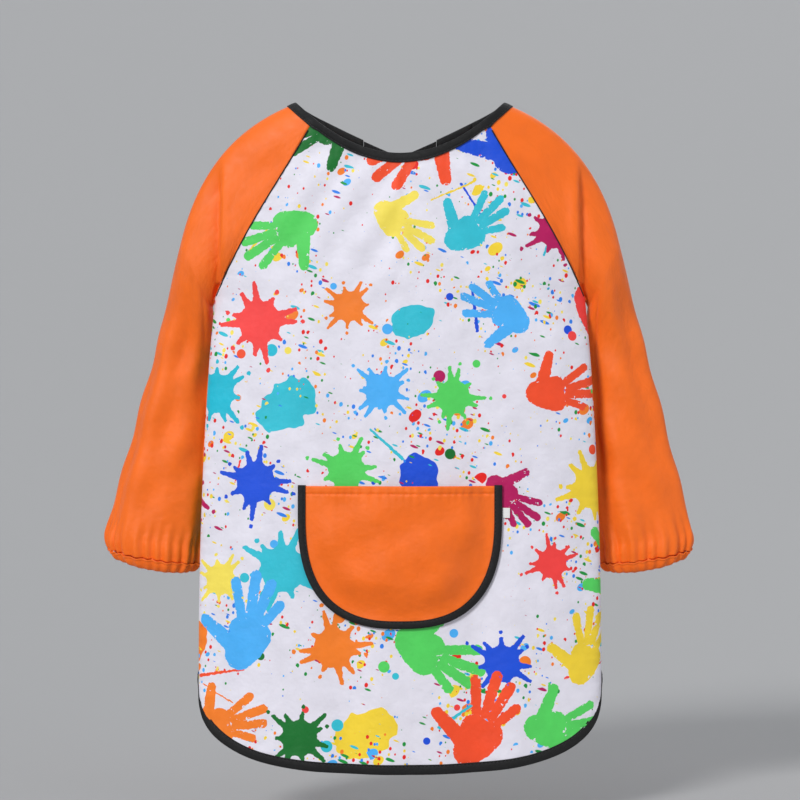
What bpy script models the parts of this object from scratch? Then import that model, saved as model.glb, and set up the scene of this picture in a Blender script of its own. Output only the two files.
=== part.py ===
"""Child's long-sleeved art smock, hanging from a hanger by its neckline.

Metres, +Z up. The origin is the middle of the shoulders at neck height, where a hanger holds the smock.
The front faces -Y. "Left" is -X and "right" is +X, as seen by someone who faces the front.

The body is a flattened tube of coated cloth: a front panel, and two back panels that meet only at the
back neck. Raglan sleeves run into the neckline. Black binding tape covers every raw edge.
"""

import math

import bmesh
import bpy
from mathutils import Matrix, Vector

# ---- Driving dimensions -------------------------------------------------------------------------
FRONT_LENGTH = 0.600          # neck point to the lowest point of the hem
SIDE_HEM_RISE = 0.075         # how far the hem climbs from the middle to the side fold
HEM_HALF_WIDTH = 0.180
UNDERARM_HALF_WIDTH = 0.166
UNDERARM_DROP = 0.178         # neck point to underarm
NECK_HALF_WIDTH = 0.094
NECK_POINT_DROP = 0.004
FRONT_NECK_DROP = 0.051       # depth of the front neckline in the middle
BACK_NECK_DROP = 0.049
FRONT_RAGLAN_X = NECK_HALF_WIDTH - 0.017   # where the raglan seam leaves the front neckline
BACK_RAGLAN_X = NECK_HALF_WIDTH - 0.022
NECK_DEPTH = 0.025            # how far the front stands forward at the neck
CHEST_DEPTH = 0.044           # and how far it stands forward lower down
BACK_DEPTH = 0.028
SIDE_FORWARD = 0.010          # the side folds hang this far forward, in front of the sleeves

SHOULDER_CORNER = (0.176, -0.034)   # corner that rounds the shoulder line, as (x, z)
SLEEVE_TOP_OUTER = (0.198, -0.130)  # outer end of the ring where the sleeve starts to swing
SLEEVE_TOP_INNER = (0.170, -0.186)
SLEEVE_MID_INNER = (0.157, -0.300)  # pulls the inner line of the sleeve towards the body
SLEEVE_END_OUTER = (0.266, -0.391)  # the full sleeve, just above the gathers
SLEEVE_END_INNER = (0.178, -0.403)
CUFF_OUTER = (0.257, -0.409)        # fold of the gathered cuff
CUFF_INNER = (0.187, -0.421)
SLEEVE_TOP_HALF_DEPTH = 0.023 # half depth of that first ring
SLEEVE_TOP_SET_BACK = 0.010   # and how far its middle lies behind the side folds
SLEEVE_HALF_DEPTH = 0.026
CUFF_HALF_DEPTH = 0.021
SLEEVE_SET_BACK = 0.026       # the hanging sleeve lies this far behind the neck point
SHOULDER_FULLNESS = 0.05      # how much the raglan part swells between the seam and the first ring
NECK_ROW_SHARE = 0.08         # share of the raglan part that the neck binding covers

FLAP_NECK_X = NECK_HALF_WIDTH - 0.028  # fold line of the back flap at the neckline
FLAP_END = (HEM_HALF_WIDTH - 0.074, -0.400)   # and where it would run out through the back edge, as (x, z)
FLAP_HINGE_BOTTOM = -0.357
FLAP_FOOT_GAP = 0.0030        # cut at the foot of the flap, so that it clears the binding as it folds

CLOTH = 0.0010
SEAM_GAP = 0.9 * CLOTH        # half of the gap between two panels along their seam
FIT_GAP = 0.0005              # running gap between a tape and what it holds
TAPE = 0.0008                 # thickness of one layer of binding tape
BINDING_WIDTH = 0.0090
BINDING_FOLD = 0.0012         # tape beyond the edge that it wraps
POCKET_BINDING_WIDTH = 0.0070
PIPING_RADIUS = 0.0008
PIPING_INSET = 0.0016         # the piping lies this far to the body side of the seam

POCKET_HALF_WIDTH = 0.089
POCKET_TOP = -0.3465
POCKET_STRAIGHT = 0.024       # straight part of each side before the pocket rounds
POCKET_ROUND = 0.1005
POCKET_SQUARENESS = 2.6
POCKET_BULGE = 0.0085         # how far the pocket stands off the front in its middle
POCKET_FACING = 0.0065        # depth of the folded hem at the pocket mouth
TAG_SIZE = (0.0065, 0.0090)
TAG_DROP = 0.0190             # pocket mouth to the top of the tag

STRAP_HALF_LENGTH = 0.033     # each closure strap reaches this far past the middle
STRAP_WIDTH = 0.0100
TAPE_HALF_LENGTH = 0.026      # hook tape and loop tape
PAD_MARGIN = 0.0012           # strap that shows on each side of them
CASING_HEIGHT = 0.0110
ELASTIC = (0.0012, 0.0070)    # thickness and width

FRONT_COLUMNS = 20
FRONT_ROWS = 18
BACK_COLUMNS = 9
BACK_ROWS = 14
FLAP_ROWS = 9
NECK_STEPS = 3
RAGLAN_STEPS = 9
SLEEVE_ROWS = 6
SIDES = {"left": -1, "right": 1}

HEM_Z = -FRONT_LENGTH
SIDE_HEM_Z = HEM_Z + SIDE_HEM_RISE
UNDERARM_Z = -UNDERARM_DROP
CREASE_TOP_Z = -0.070         # above this the body and the sleeve are one smooth surface


# ---- Small helpers ------------------------------------------------------------------------------
def mix(a, b, share):
    return a + (b - a) * share


def smooth(low, high, value):
    share = min(max((value - low) / (high - low), 0.0), 1.0)
    return share * share * (3 - 2 * share)


def arch(share):
    """Height of a quarter-round arch, 1 in the middle (share 0) and 0 at its foot (share 1)."""
    return math.sqrt(max(0.0, 1.0 - share * share))


def bend(start, corner, end, share):
    """A point on the quadratic curve from start to end that corner pulls on."""
    keep = 1 - share
    return tuple(
        keep * keep * a + 2 * share * keep * b + share * share * c
        for a, b, c in zip(start, corner, end)
    )


# ---- Shape of the hanging smock -----------------------------------------------------------------
def side_half_width(z):
    """Half width of the body at its side folds, below the underarm."""
    share = min(max((UNDERARM_Z - z) / 0.330, 0.0), 1.0)
    return mix(UNDERARM_HALF_WIDTH, HEM_HALF_WIDTH, 1 - (1 - share) ** 2)


def shoulder_half_width(z):
    """Half width of the whole silhouette at height z, above the swinging part of the sleeve."""
    start, corner, end = -NECK_POINT_DROP, SHOULDER_CORNER[1], SLEEVE_TOP_OUTER[1]
    if z >= start:
        return NECK_HALF_WIDTH
    square = start - 2 * corner + end
    half = corner - start
    share = (-half - math.sqrt(max(0.0, half * half - square * (start - z)))) / square
    if share <= 1:
        return bend((NECK_HALF_WIDTH,), SHOULDER_CORNER[:1], SLEEVE_TOP_OUTER[:1], share)[0]
    slope = (SLEEVE_END_OUTER[0] - SLEEVE_TOP_OUTER[0]) / (SLEEVE_TOP_OUTER[1] - SLEEVE_END_OUTER[1])
    return SLEEVE_TOP_OUTER[0] + slope * (SLEEVE_TOP_OUTER[1] - z)


def front_depth(z):
    fall = max(0.0, -FRONT_NECK_DROP - z)
    return NECK_DEPTH + (CHEST_DEPTH - NECK_DEPTH) * (1 - math.exp(-fall / 0.12))


def fold_y(z):
    return -SIDE_FORWARD * smooth(0.0, 0.060, UNDERARM_Z - z)


def fold_line_x(z):
    """Distance from the middle to the fold line of the back flap at height z."""
    top_z = back_neckline_z(FLAP_NECK_X)
    share = (top_z - z) / (top_z - FLAP_END[1])
    return mix(FLAP_NECK_X, FLAP_END[0], share)


def front_y(x, z):
    reach = abs(x)
    if z <= UNDERARM_Z:
        side = fold_y(z)
        return side - (front_depth(z) + side) * arch(reach / side_half_width(z))
    whole = front_depth(z) * arch(reach / shoulder_half_width(z))
    body = front_depth(z) * arch(min(1.0, reach / UNDERARM_HALF_WIDTH))
    return -mix(body, whole, smooth(UNDERARM_Z, CREASE_TOP_Z, z))


def back_y(x, z):
    flat = fold_line_x(z)
    if abs(x) <= flat:
        return BACK_DEPTH
    if z <= UNDERARM_Z:
        share = (abs(x) - flat) / (side_half_width(z) - flat)
        return fold_y(z) + (BACK_DEPTH - fold_y(z)) * arch(share)
    whole = arch((abs(x) - flat) / (shoulder_half_width(z) - flat))
    body = arch(min(1.0, (abs(x) - flat) / (UNDERARM_HALF_WIDTH - flat)))
    return BACK_DEPTH * mix(body, whole, smooth(UNDERARM_Z, CREASE_TOP_Z, z))


def on_front(x, z):
    return Vector((x, front_y(x, z), z))


def on_back(x, z):
    return Vector((x, back_y(x, z), z))


def hem_z(x):
    """The hem is level in the middle and rounds up to the side folds."""
    share = min(1.0, abs(x) / HEM_HALF_WIDTH)
    return SIDE_HEM_Z - SIDE_HEM_RISE * (1 - share**2.85) ** (1 / 2.85)


def front_neckline_z(x):
    rise = (FRONT_NECK_DROP - NECK_POINT_DROP) / NECK_HALF_WIDTH**2
    return -FRONT_NECK_DROP + rise * x * x


def back_neckline_z(x):
    share = abs(x) / NECK_HALF_WIDTH
    return -BACK_NECK_DROP + (BACK_NECK_DROP - NECK_POINT_DROP) * (0.86 * share + 0.14 * share * share)


def raglan_x(z, top):
    """Distance from the middle to a raglan seam at height z, where top is the seam's upper end (x, z)."""
    share = min(max((top[1] - z) / (top[1] - UNDERARM_Z), 0.0), 1.0)
    straight = mix(top[0], UNDERARM_HALF_WIDTH, share)
    return straight + 0.006 * math.sin(math.pi * share) * share


FRONT_RAGLAN_TOP = (FRONT_RAGLAN_X, front_neckline_z(FRONT_RAGLAN_X))
BACK_RAGLAN_TOP = (BACK_RAGLAN_X, back_neckline_z(BACK_RAGLAN_X))


def back_edge_x(z):
    """The open back edge, a straight line from the back neck to the end of the flap's fold."""
    top_z = -BACK_NECK_DROP
    return 0.001 + (FLAP_END[0] - 0.001) * (top_z - z) / (top_z - FLAP_END[1])


def back_corner_z(share):
    """Height of the edge from the side fold (share 0) round to the end of the flap's fold (share 1)."""
    rise = FLAP_END[1] - SIDE_HEM_Z
    return SIDE_HEM_Z + rise * (0.42 * share + 0.58 * share**5)


# ---- Building blocks ----------------------------------------------------------------------------
def add_object(name, mesh, colour, roughness):
    piece = bpy.data.objects.new(name, mesh)
    bpy.context.scene.collection.objects.link(piece)
    material = bpy.data.materials.new(name)
    material.use_nodes = True
    surface = material.node_tree.nodes["Principled BSDF"]
    surface.inputs["Base Color"].default_value = (*colour, 1.0)
    surface.inputs["Roughness"].default_value = roughness
    surface.inputs["Metallic"].default_value = 0.0
    mesh.materials.append(material)
    return piece


def mesh_from(name, rows, around=False):
    """A grid of quads through rows of points. A row is a closed ring where around is true."""
    work = bmesh.new()
    grid = [[work.verts.new(point) for point in row] for row in rows]
    width = len(rows[0])
    for low, high in zip(grid, grid[1:]):
        for step in range(width if around else width - 1):
            after = (step + 1) % width
            work.faces.new((low[step], low[after], high[after], high[step]))
    bmesh.ops.recalc_face_normals(work, faces=work.faces)
    mesh = bpy.data.meshes.new(name)
    work.to_mesh(mesh)
    work.free()
    mesh.shade_smooth()
    return mesh


def cloth_piece(name, rows, colour, around=False, thickness=CLOTH, roughness=0.5):
    piece = add_object(name, mesh_from(name, rows, around), colour, roughness)
    solid = piece.modifiers.new("Cloth thickness", "SOLIDIFY")
    solid.thickness = thickness
    solid.offset = 0.0
    return piece


def swept(name, profile, frames, colour, around=False, roughness=0.7):
    """A solid that carries profile along frames, each of them (point, inward, outward normal)."""
    work = bmesh.new()
    rings = [
        [work.verts.new(point + inward * a + normal * b) for a, b in profile]
        for point, inward, normal in frames
    ]
    count = len(profile)
    for ring, after in zip(rings, rings[1:] + rings[:1] if around else rings[1:]):
        for step in range(count):
            other = (step + 1) % count
            work.faces.new((ring[step], ring[other], after[other], after[step]))
    if not around:
        work.faces.new(rings[0])
        work.faces.new(rings[-1])
    bmesh.ops.recalc_face_normals(work, faces=work.faces)
    mesh = bpy.data.meshes.new(name)
    work.to_mesh(mesh)
    work.free()
    return add_object(name, mesh, colour, roughness)


def channel(width, slot, wall=TAPE, fold=BINDING_FOLD):
    """Cross-section of a tape folded over an edge. slot is the thickness of what it holds."""
    inner = slot / 2 + FIT_GAP
    outer = inner + wall
    floor = wall - fold
    rim = width - fold
    return [
        (-fold, -outer), (rim, -outer), (rim, -inner), (floor, -inner),
        (floor, inner), (rim, inner), (rim, outer), (-fold, outer),
    ]


def frame_towards(point, target, across):
    """A frame at point whose inward direction runs to target, square to the direction across."""
    inward = (target - point).normalized()
    normal = inward.cross(across).normalized()
    return point, inward, normal


def outward_frames(points, targets, outward):
    """Frames along a path, each normal turned to the side that outward(point) gives."""
    frames = []
    last = len(points) - 1
    for step, (point, target) in enumerate(zip(points, targets)):
        along = points[min(step + 1, last)] - points[max(step - 1, 0)]
        _, inward, normal = frame_towards(point, target, along)
        if normal.dot(outward(point)) < 0:
            normal = -normal
        frames.append((point, inward, normal))
    return frames


def mirrored(points):
    return [Vector((-point.x, point.y, point.z)) for point in points]


def on_side(points, side):
    return mirrored(points) if side < 0 else points


# ---- Colours ------------------------------------------------------------------------------------
PRINT = (0.80, 0.78, 0.86)
ORANGE = (1.00, 0.27, 0.02)
BLACK = (0.010, 0.010, 0.011)
WHITE = (0.85, 0.85, 0.84)
DARK = (0.05, 0.03, 0.03)
ELASTIC_WHITE = (0.75, 0.75, 0.73)

EDGE_STEP = BINDING_WIDTH     # the first row of every bound panel ends at the rim of its tape


# ---- Front panel --------------------------------------------------------------------------------
def front_edge_x(z):
    if z <= UNDERARM_Z:
        return side_half_width(z)
    return raglan_x(z, FRONT_RAGLAN_TOP)


def front_column(turn):
    """Bottom and top heights of the column at angle turn (-90 to 90 degrees) from the middle."""
    share = math.sin(turn)
    bottom = hem_z(share * HEM_HALF_WIDTH)
    top = front_neckline_z(share * FRONT_RAGLAN_X)
    for _ in range(6):
        top = front_neckline_z(share * front_edge_x(top))
    return bottom, top


def front_point(turn, z, gap=0.0):
    x = math.sin(turn) * (front_edge_x(z) - gap)
    return on_front(x, z)


def column_heights(bottom, top, rows):
    """Heights up a column, with the first and last rows one tape's width from the ends."""
    low = bottom + EDGE_STEP
    high = top - EDGE_STEP
    between = [mix(low, high, step / (rows - 3)) for step in range(rows - 2)]
    return [bottom, *between, top]


def front_turns():
    limit = math.pi / 2 - SEAM_GAP / front_depth(SIDE_HEM_Z)
    return [mix(-limit, limit, step / FRONT_COLUMNS) for step in range(FRONT_COLUMNS + 1)]


def make_front_panel():
    columns = []
    for turn in front_turns():
        heights = column_heights(*front_column(turn), FRONT_ROWS)
        columns.append([front_point(turn, z, SEAM_GAP) for z in heights])
    return cloth_piece("front_panel", columns, PRINT)


# ---- Back panels and flaps ----------------------------------------------------------------------
def back_top_corner(share):
    """Top edge of a back panel, from the underarm (share 0) up the raglan seam to the flap's fold."""
    seam_share = 0.93
    if share <= seam_share:
        z = mix(UNDERARM_Z, BACK_RAGLAN_TOP[1], share / seam_share)
        return raglan_x(z, BACK_RAGLAN_TOP) - SEAM_GAP, z
    x = mix(BACK_RAGLAN_X - SEAM_GAP, FLAP_NECK_X, (share - seam_share) / (1 - seam_share))
    return x, back_neckline_z(x)


def back_panel_point(turn, height):
    """A point of the right back panel: turn runs 0 to 90 degrees from the side fold to the flap's fold."""
    share = 1 - math.cos(turn)
    top_x, top_z = back_top_corner(share)
    bottom_z = back_corner_z(turn / (math.pi / 2))
    z = mix(bottom_z, top_z, height)
    low_x = mix(side_half_width(z), fold_line_x(z), share)
    high_x = mix(raglan_x(z, BACK_RAGLAN_TOP), fold_line_x(z), share)
    x = low_x if z <= UNDERARM_Z else high_x
    if height == 1:
        x = top_x
    return on_back(x, z)


def back_turns():
    first = SEAM_GAP / BACK_DEPTH
    return [mix(first, math.pi / 2, step / BACK_COLUMNS) for step in range(BACK_COLUMNS + 1)]


def back_heights(turn):
    low = EDGE_STEP / (UNDERARM_DROP + BACK_DEPTH)
    return [0.0, low, *[mix(low, 1.0, step / (BACK_ROWS - 2)) for step in range(1, BACK_ROWS - 1)]]


def make_back_panel(side_name):
    columns = []
    for turn in back_turns():
        column = [back_panel_point(turn, height) for height in back_heights(turn)]
        columns.append(on_side(column, SIDES[side_name]))
    return cloth_piece("back_panel_" + side_name, columns, PRINT)


def flap_top_z(x):
    """Under the closure strap the cloth stops at the strap's lower edge."""
    z = back_neckline_z(x)
    if x < STRAP_HALF_LENGTH + FIT_GAP:
        return z - STRAP_WIDTH - FIT_GAP
    return z


def flap_inner_x():
    """Where the flap's cloth meets the open edge, just under the closure strap."""
    x = 0.0
    for _ in range(6):
        x = back_edge_x(flap_top_z(x))
    return x


def make_flap(side_name):
    """The flap is flat: it lies between the open back edge and its fold line."""
    bottom = FLAP_HINGE_BOTTOM + FLAP_FOOT_GAP
    under_strap = STRAP_HALF_LENGTH + FIT_GAP / 2
    past_strap = STRAP_HALF_LENGTH + 2 * FIT_GAP
    neck_shares = [0.0, 0.35, 0.7, 1.0]
    tops = [mix(flap_inner_x(), under_strap, share) for share in neck_shares]
    tops += [mix(past_strap, FLAP_NECK_X - SEAM_GAP, share) for share in neck_shares]
    columns = []
    for top_x in tops:
        top_z = flap_top_z(top_x)
        span = fold_line_x(top_z) - SEAM_GAP - back_edge_x(top_z)
        share = (top_x - back_edge_x(top_z)) / span
        column = []
        for step in range(FLAP_ROWS + 1):
            z = mix(bottom, top_z, step / FLAP_ROWS)
            x = mix(back_edge_x(z), fold_line_x(z) - SEAM_GAP, share)
            column.append(Vector((x, BACK_DEPTH, z)))
        columns.append(on_side(column, SIDES[side_name]))
    return cloth_piece("back_flap_" + side_name, columns, PRINT)


# ---- Sleeves ------------------------------------------------------------------------------------
def seam_loop():
    """The right sleeve's top edge: over the shoulder at the neck, down one raglan seam and up the other."""
    neck = (NECK_HALF_WIDTH, -NECK_POINT_DROP)

    def half(corner, surface, neckline):
        points = []
        for step in range(NECK_STEPS):
            share = 1 - math.cos(step / NECK_STEPS * math.pi / 2)
            x = mix(neck[0], corner[0], share)
            points.append(surface(x, neckline(x)))
        for step in range(RAGLAN_STEPS + 1):
            z = mix(corner[1], UNDERARM_Z, step / RAGLAN_STEPS)
            points.append(surface(raglan_x(z, corner), z))
        return points

    front = half(FRONT_RAGLAN_TOP, on_front, front_neckline_z)
    back = half(BACK_RAGLAN_TOP, on_back, back_neckline_z)
    return front + back[-2:0:-1]


def ring_turns():
    """Angle round the sleeve of each point of the seam loop, 0 on the outer line, 180 under the arm."""
    count = NECK_STEPS + RAGLAN_STEPS
    return [math.pi * step / count for step in range(2 * count)]


def ring(outer, inner, half_depth, set_back):
    """An oval ring round the sleeve between its outer and inner points, each of them (x, z)."""
    middle = Vector(((outer[0] + inner[0]) / 2, set_back, (outer[1] + inner[1]) / 2))
    half = Vector(((outer[0] - inner[0]) / 2, 0.0, (outer[1] - inner[1]) / 2))
    points = []
    for turn in ring_turns():
        points.append(middle + half * math.cos(turn) + Vector((0, -half_depth * math.sin(turn), 0)))
    return points


def top_ring():
    return ring(SLEEVE_TOP_OUTER, SLEEVE_TOP_INNER, SLEEVE_TOP_HALF_DEPTH, SLEEVE_TOP_SET_BACK)


def shoulder_corner(turn, start, finish):
    """The point that pulls the cloth between the seam loop and the first ring out over the shoulder."""
    on_shoulder = max(0.0, math.cos(turn)) ** 2
    chord_x = (NECK_HALF_WIDTH + SLEEVE_TOP_OUTER[0]) / 2
    chord_z = (SLEEVE_TOP_OUTER[1] - NECK_POINT_DROP) / 2
    corner = (start + finish) / 2
    corner.x += (SHOULDER_CORNER[0] - chord_x) * on_shoulder
    corner.z += (SHOULDER_CORNER[1] - chord_z) * on_shoulder
    corner.y *= 1 + SHOULDER_FULLNESS * math.sin(turn) ** 2
    return corner


def sleeve_upper_row(share):
    """A ring of the raglan part, from the seam loop (share 0) to the first ring (share 1)."""
    points = []
    for turn, start, finish in zip(ring_turns(), seam_loop(), top_ring()):
        corner = shoulder_corner(turn, start, finish)
        point = Vector(bend(start, corner, finish, share))
        if share == 0:
            point += (corner - start).normalized() * 2 * SEAM_GAP
        if share == 1:
            point += (corner - finish).normalized() * SEAM_GAP
        points.append(point)
    return points


def make_sleeve_upper(side_name):
    first = NECK_ROW_SHARE
    shares = [0.0] + [mix(first, 1.0, row / SLEEVE_ROWS) for row in range(SLEEVE_ROWS + 1)]
    rows = [on_side(sleeve_upper_row(share), SIDES[side_name]) for share in shares]
    return cloth_piece("sleeve_upper_" + side_name, rows, ORANGE, around=True)


def sleeve_ring(share):
    """The swinging sleeve's ring, from the swing line (share 0) to just above the gathers (share 1)."""
    outer = tuple(mix(a, b, share) for a, b in zip(SLEEVE_TOP_OUTER, SLEEVE_END_OUTER))
    inner = bend(SLEEVE_TOP_INNER, SLEEVE_MID_INNER, SLEEVE_END_INNER, share)
    settle = smooth(0.0, 0.28, share)
    half_depth = mix(SLEEVE_TOP_HALF_DEPTH, SLEEVE_HALF_DEPTH, settle)
    return ring(outer, inner, half_depth, mix(SLEEVE_TOP_SET_BACK, SLEEVE_SET_BACK, settle))


def cuff_top_ring():
    return ring(
        tuple(mix(a, b, 0.50) for a, b in zip(CUFF_OUTER, SLEEVE_END_OUTER)),
        tuple(mix(a, b, 0.50) for a, b in zip(CUFF_INNER, SLEEVE_END_INNER)),
        mix(CUFF_HALF_DEPTH, SLEEVE_HALF_DEPTH, 0.4),
        SLEEVE_SET_BACK,
    )


def make_sleeve_lower(side_name):
    rows = [sleeve_ring(step / SLEEVE_ROWS) for step in range(SLEEVE_ROWS + 1)]
    drop = Vector((SLEEVE_END_OUTER[0] - SLEEVE_TOP_OUTER[0], 0, SLEEVE_END_OUTER[1] - SLEEVE_TOP_OUTER[1]))
    rows[0] = [point + drop.normalized() * SEAM_GAP for point in rows[0]]
    casing_top = cuff_frames()
    rim = CASING_HEIGHT - BINDING_FOLD + FIT_GAP
    rows.append([point + inward * (rim + SEAM_GAP) for point, inward, _ in casing_top])
    rows = [on_side(row, SIDES[side_name]) for row in rows]
    return cloth_piece("sleeve_lower_" + side_name, rows, ORANGE, around=True)


def cuff_frames(lift=0.0):
    """Frames round the cuff's lower fold, each pointing up the sleeve, lift above the fold."""
    path = ring(CUFF_OUTER, CUFF_INNER, CUFF_HALF_DEPTH, SLEEVE_SET_BACK)
    targets = cuff_top_ring()
    middle = sum(path, Vector()) / len(path)
    frames = []
    for step, (point, target) in enumerate(zip(path, targets)):
        along = path[(step + 1) % len(path)] - path[step - 1]
        _, inward, normal = frame_towards(point, target, along)
        if normal.dot(point - middle) < 0:
            normal = -normal
        frames.append((point + inward * lift, inward, normal))
    return frames


def framed_on_side(frames, side):
    if side > 0:
        return frames
    flip = Vector((-1, 1, 1))
    return [tuple(Vector(a * b for a, b in zip(part, flip)) for part in frame) for frame in frames]


def make_cuff(side_name):
    side = SIDES[side_name]
    casing = channel(CASING_HEIGHT, ELASTIC[0])
    frames = framed_on_side(cuff_frames(), side)
    swept("cuff_casing_" + side_name, casing, frames, ORANGE, around=True, roughness=0.5)
    low = TAPE - BINDING_FOLD + FIT_GAP
    half = ELASTIC[0] / 2
    band = [(low, -half), (low + ELASTIC[1], -half), (low + ELASTIC[1], half), (low, half)]
    swept("cuff_elastic_" + side_name, band, frames, ELASTIC_WHITE, around=True)


# ---- Binding tapes ------------------------------------------------------------------------------
def away_from_middle(point):
    return Vector((point.x * 0.2, point.y, 0.0))


def back_edge_frames(low, high, steps):
    """Frames up the straight open edge of the right back, from height low to height high."""
    points, targets = [], []
    fall = Vector((back_edge_x(high) - back_edge_x(low), 0, high - low)).normalized()
    inward = Vector((-fall.z, 0, fall.x))
    inward = inward if inward.x > 0 else -inward
    for step in range(steps + 1):
        z = mix(low, high, step / steps)
        point = Vector((back_edge_x(z), BACK_DEPTH, z))
        points.append(point)
        targets.append(point + inward * BINDING_WIDTH)
    return outward_frames(points, targets, lambda _: Vector((0, 1, 0)))


def side_edge_frames():
    """Frames from the right side fold round the back corner to the foot of the straight back edge."""
    points, targets = [], []
    for turn in back_turns():
        point = back_panel_point(turn, 0.0)
        upright = back_panel_point(turn, back_heights(turn)[1])
        straight_on = smooth(0.45, 1.0, turn / (math.pi / 2))
        square = point + Vector((BINDING_WIDTH, 0, 0.002))
        square.y = back_y(square.x, square.z)
        points.append(point)
        targets.append(upright.lerp(square, straight_on))
    return outward_frames(points, targets, away_from_middle)


def make_edge_binding():
    front_points, front_targets = [], []
    for turn in front_turns():
        bottom, top = front_column(turn)
        heights = column_heights(bottom, top, FRONT_ROWS)
        front_points.append(front_point(turn, heights[0], SEAM_GAP))
        front_targets.append(front_point(turn, heights[1], SEAM_GAP))
    front = outward_frames(front_points, front_targets, away_from_middle)
    upright = back_edge_frames(FLAP_END[1] + 0.006, FLAP_HINGE_BOTTOM - SEAM_GAP, 3)
    right = side_edge_frames() + upright
    left = framed_on_side(right, -1)[::-1]
    profile = channel(BINDING_WIDTH, CLOTH)
    swept("edge_binding", profile, left + front + right, BLACK)


def make_flap_edge_binding(side_name):
    top = flap_top_z(0.0) - 2 * FIT_GAP
    frames = back_edge_frames(FLAP_HINGE_BOTTOM + FLAP_FOOT_GAP, top, 8)
    frames = framed_on_side(frames, SIDES[side_name])
    swept("edge_binding_flap_" + side_name, channel(BINDING_WIDTH, CLOTH), frames, BLACK)


def back_neck_frames(low_x, high_x, steps):
    points, targets = [], []
    for step in range(steps + 1):
        x = mix(low_x, high_x, step / steps)
        z = back_neckline_z(x)
        points.append(on_back(x, z))
        targets.append(on_back(x, z - BINDING_WIDTH))
    return outward_frames(points, targets, lambda _: Vector((0, 1, 0)))


def make_neck_binding():
    edge = sleeve_upper_row(0.0)
    rim = sleeve_upper_row(NECK_ROW_SHARE)
    steps = range(NECK_STEPS, -NECK_STEPS - 1, -1)
    shoulder_points = [edge[step] for step in steps]
    shoulder_targets = [rim[step] for step in steps]
    shoulder = outward_frames(shoulder_points, shoulder_targets, lambda p: Vector((0.02, p.y, 0.03)))
    front_points, front_targets = [], []
    for turn in front_turns():
        bottom, top = front_column(turn)
        heights = column_heights(bottom, top, FRONT_ROWS)
        front_points.append(front_point(turn, heights[-1], SEAM_GAP))
        front_targets.append(front_point(turn, heights[-2], SEAM_GAP))
    front = outward_frames(front_points, front_targets, away_from_middle)
    back = back_neck_frames(BACK_RAGLAN_X - 0.002, FLAP_NECK_X + SEAM_GAP, 1)
    right = shoulder + back
    left = framed_on_side(right, -1)[::-1]
    swept("neck_binding", channel(BINDING_WIDTH, CLOTH), left + front + right, BLACK)


def make_neck_binding_flap(side_name):
    low = STRAP_HALF_LENGTH + 2 * FIT_GAP
    frames = back_neck_frames(low, FLAP_NECK_X - SEAM_GAP, 4)
    frames = framed_on_side(frames, SIDES[side_name])
    swept("neck_binding_flap_" + side_name, channel(BINDING_WIDTH, CLOTH), frames, BLACK)


def make_piping(side_name, face):
    """A fine cord laid along a raglan seam, from the neck binding to the underarm."""
    corner, surface = (FRONT_RAGLAN_TOP, on_front) if face == "front" else (BACK_RAGLAN_TOP, on_back)
    outward = -1 if face == "front" else 1
    points = []
    steps = 12
    for step in range(steps + 1):
        z = mix(corner[1] - BINDING_WIDTH - 0.002, UNDERARM_Z + 0.012, step / steps)
        seam = surface(raglan_x(z, corner) - PIPING_INSET, z)
        lift = CLOTH / 2 + 2 * FIT_GAP + PIPING_RADIUS
        lean = (0.45 - 0.75 * outward) * smooth(UNDERARM_Z + 0.07, UNDERARM_Z, z)
        normal = Vector((lean, outward, 0.15)).normalized()
        points.append(seam + normal * lift)
    points = on_side(points, SIDES[side_name])
    name = "raglan_piping_" + face + "_" + side_name
    curve = bpy.data.curves.new(name, "CURVE")
    curve.dimensions = "3D"
    curve.bevel_depth = PIPING_RADIUS
    curve.bevel_resolution = 1
    curve.use_fill_caps = True
    line = curve.splines.new("POLY")
    line.points.add(len(points) - 1)
    for spot, point in zip(line.points, points):
        spot.co = (*point, 1.0)
    return add_object(name, curve, BLACK, 0.6)


# ---- Pocket -------------------------------------------------------------------------------------
def pocket_outline(share):
    """The pocket's edge as (x, z), from the left top corner (share -1) round to the right (share 1)."""
    turn = min(1.0, abs(share) / 0.82) * math.pi / 2
    power = 2 / POCKET_SQUARENESS
    x = POCKET_HALF_WIDTH * math.sin(turn) ** power
    z = POCKET_TOP - POCKET_STRAIGHT - POCKET_ROUND * max(0.0, math.cos(turn)) ** power
    straight = max(0.0, abs(share) - 0.82) / 0.18
    return math.copysign(x, share), z + POCKET_STRAIGHT * straight


def lifted(x, z, lift):
    """A point lift in front of the front panel, square to it."""
    step = 0.002
    across = on_front(x + step, z) - on_front(x - step, z)
    down = on_front(x, z + step) - on_front(x, z - step)
    normal = across.cross(down).normalized()
    if normal.y > 0:
        normal = -normal
    return on_front(x, z) + normal * lift, normal


BINDING_HALF = CLOTH / 2 + FIT_GAP + TAPE
POCKET_LIFT = CLOTH / 2 + FIT_GAP + BINDING_HALF


def pocket_reach(x, z):
    """How far (x, z) is from the pocket's middle, as a share of the way to its edge."""
    below = max(0.0, POCKET_TOP - POCKET_STRAIGHT - z) / POCKET_ROUND
    across = abs(x) / POCKET_HALF_WIDTH
    return (across**POCKET_SQUARENESS + below**POCKET_SQUARENESS) ** (1 / POCKET_SQUARENESS)


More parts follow.
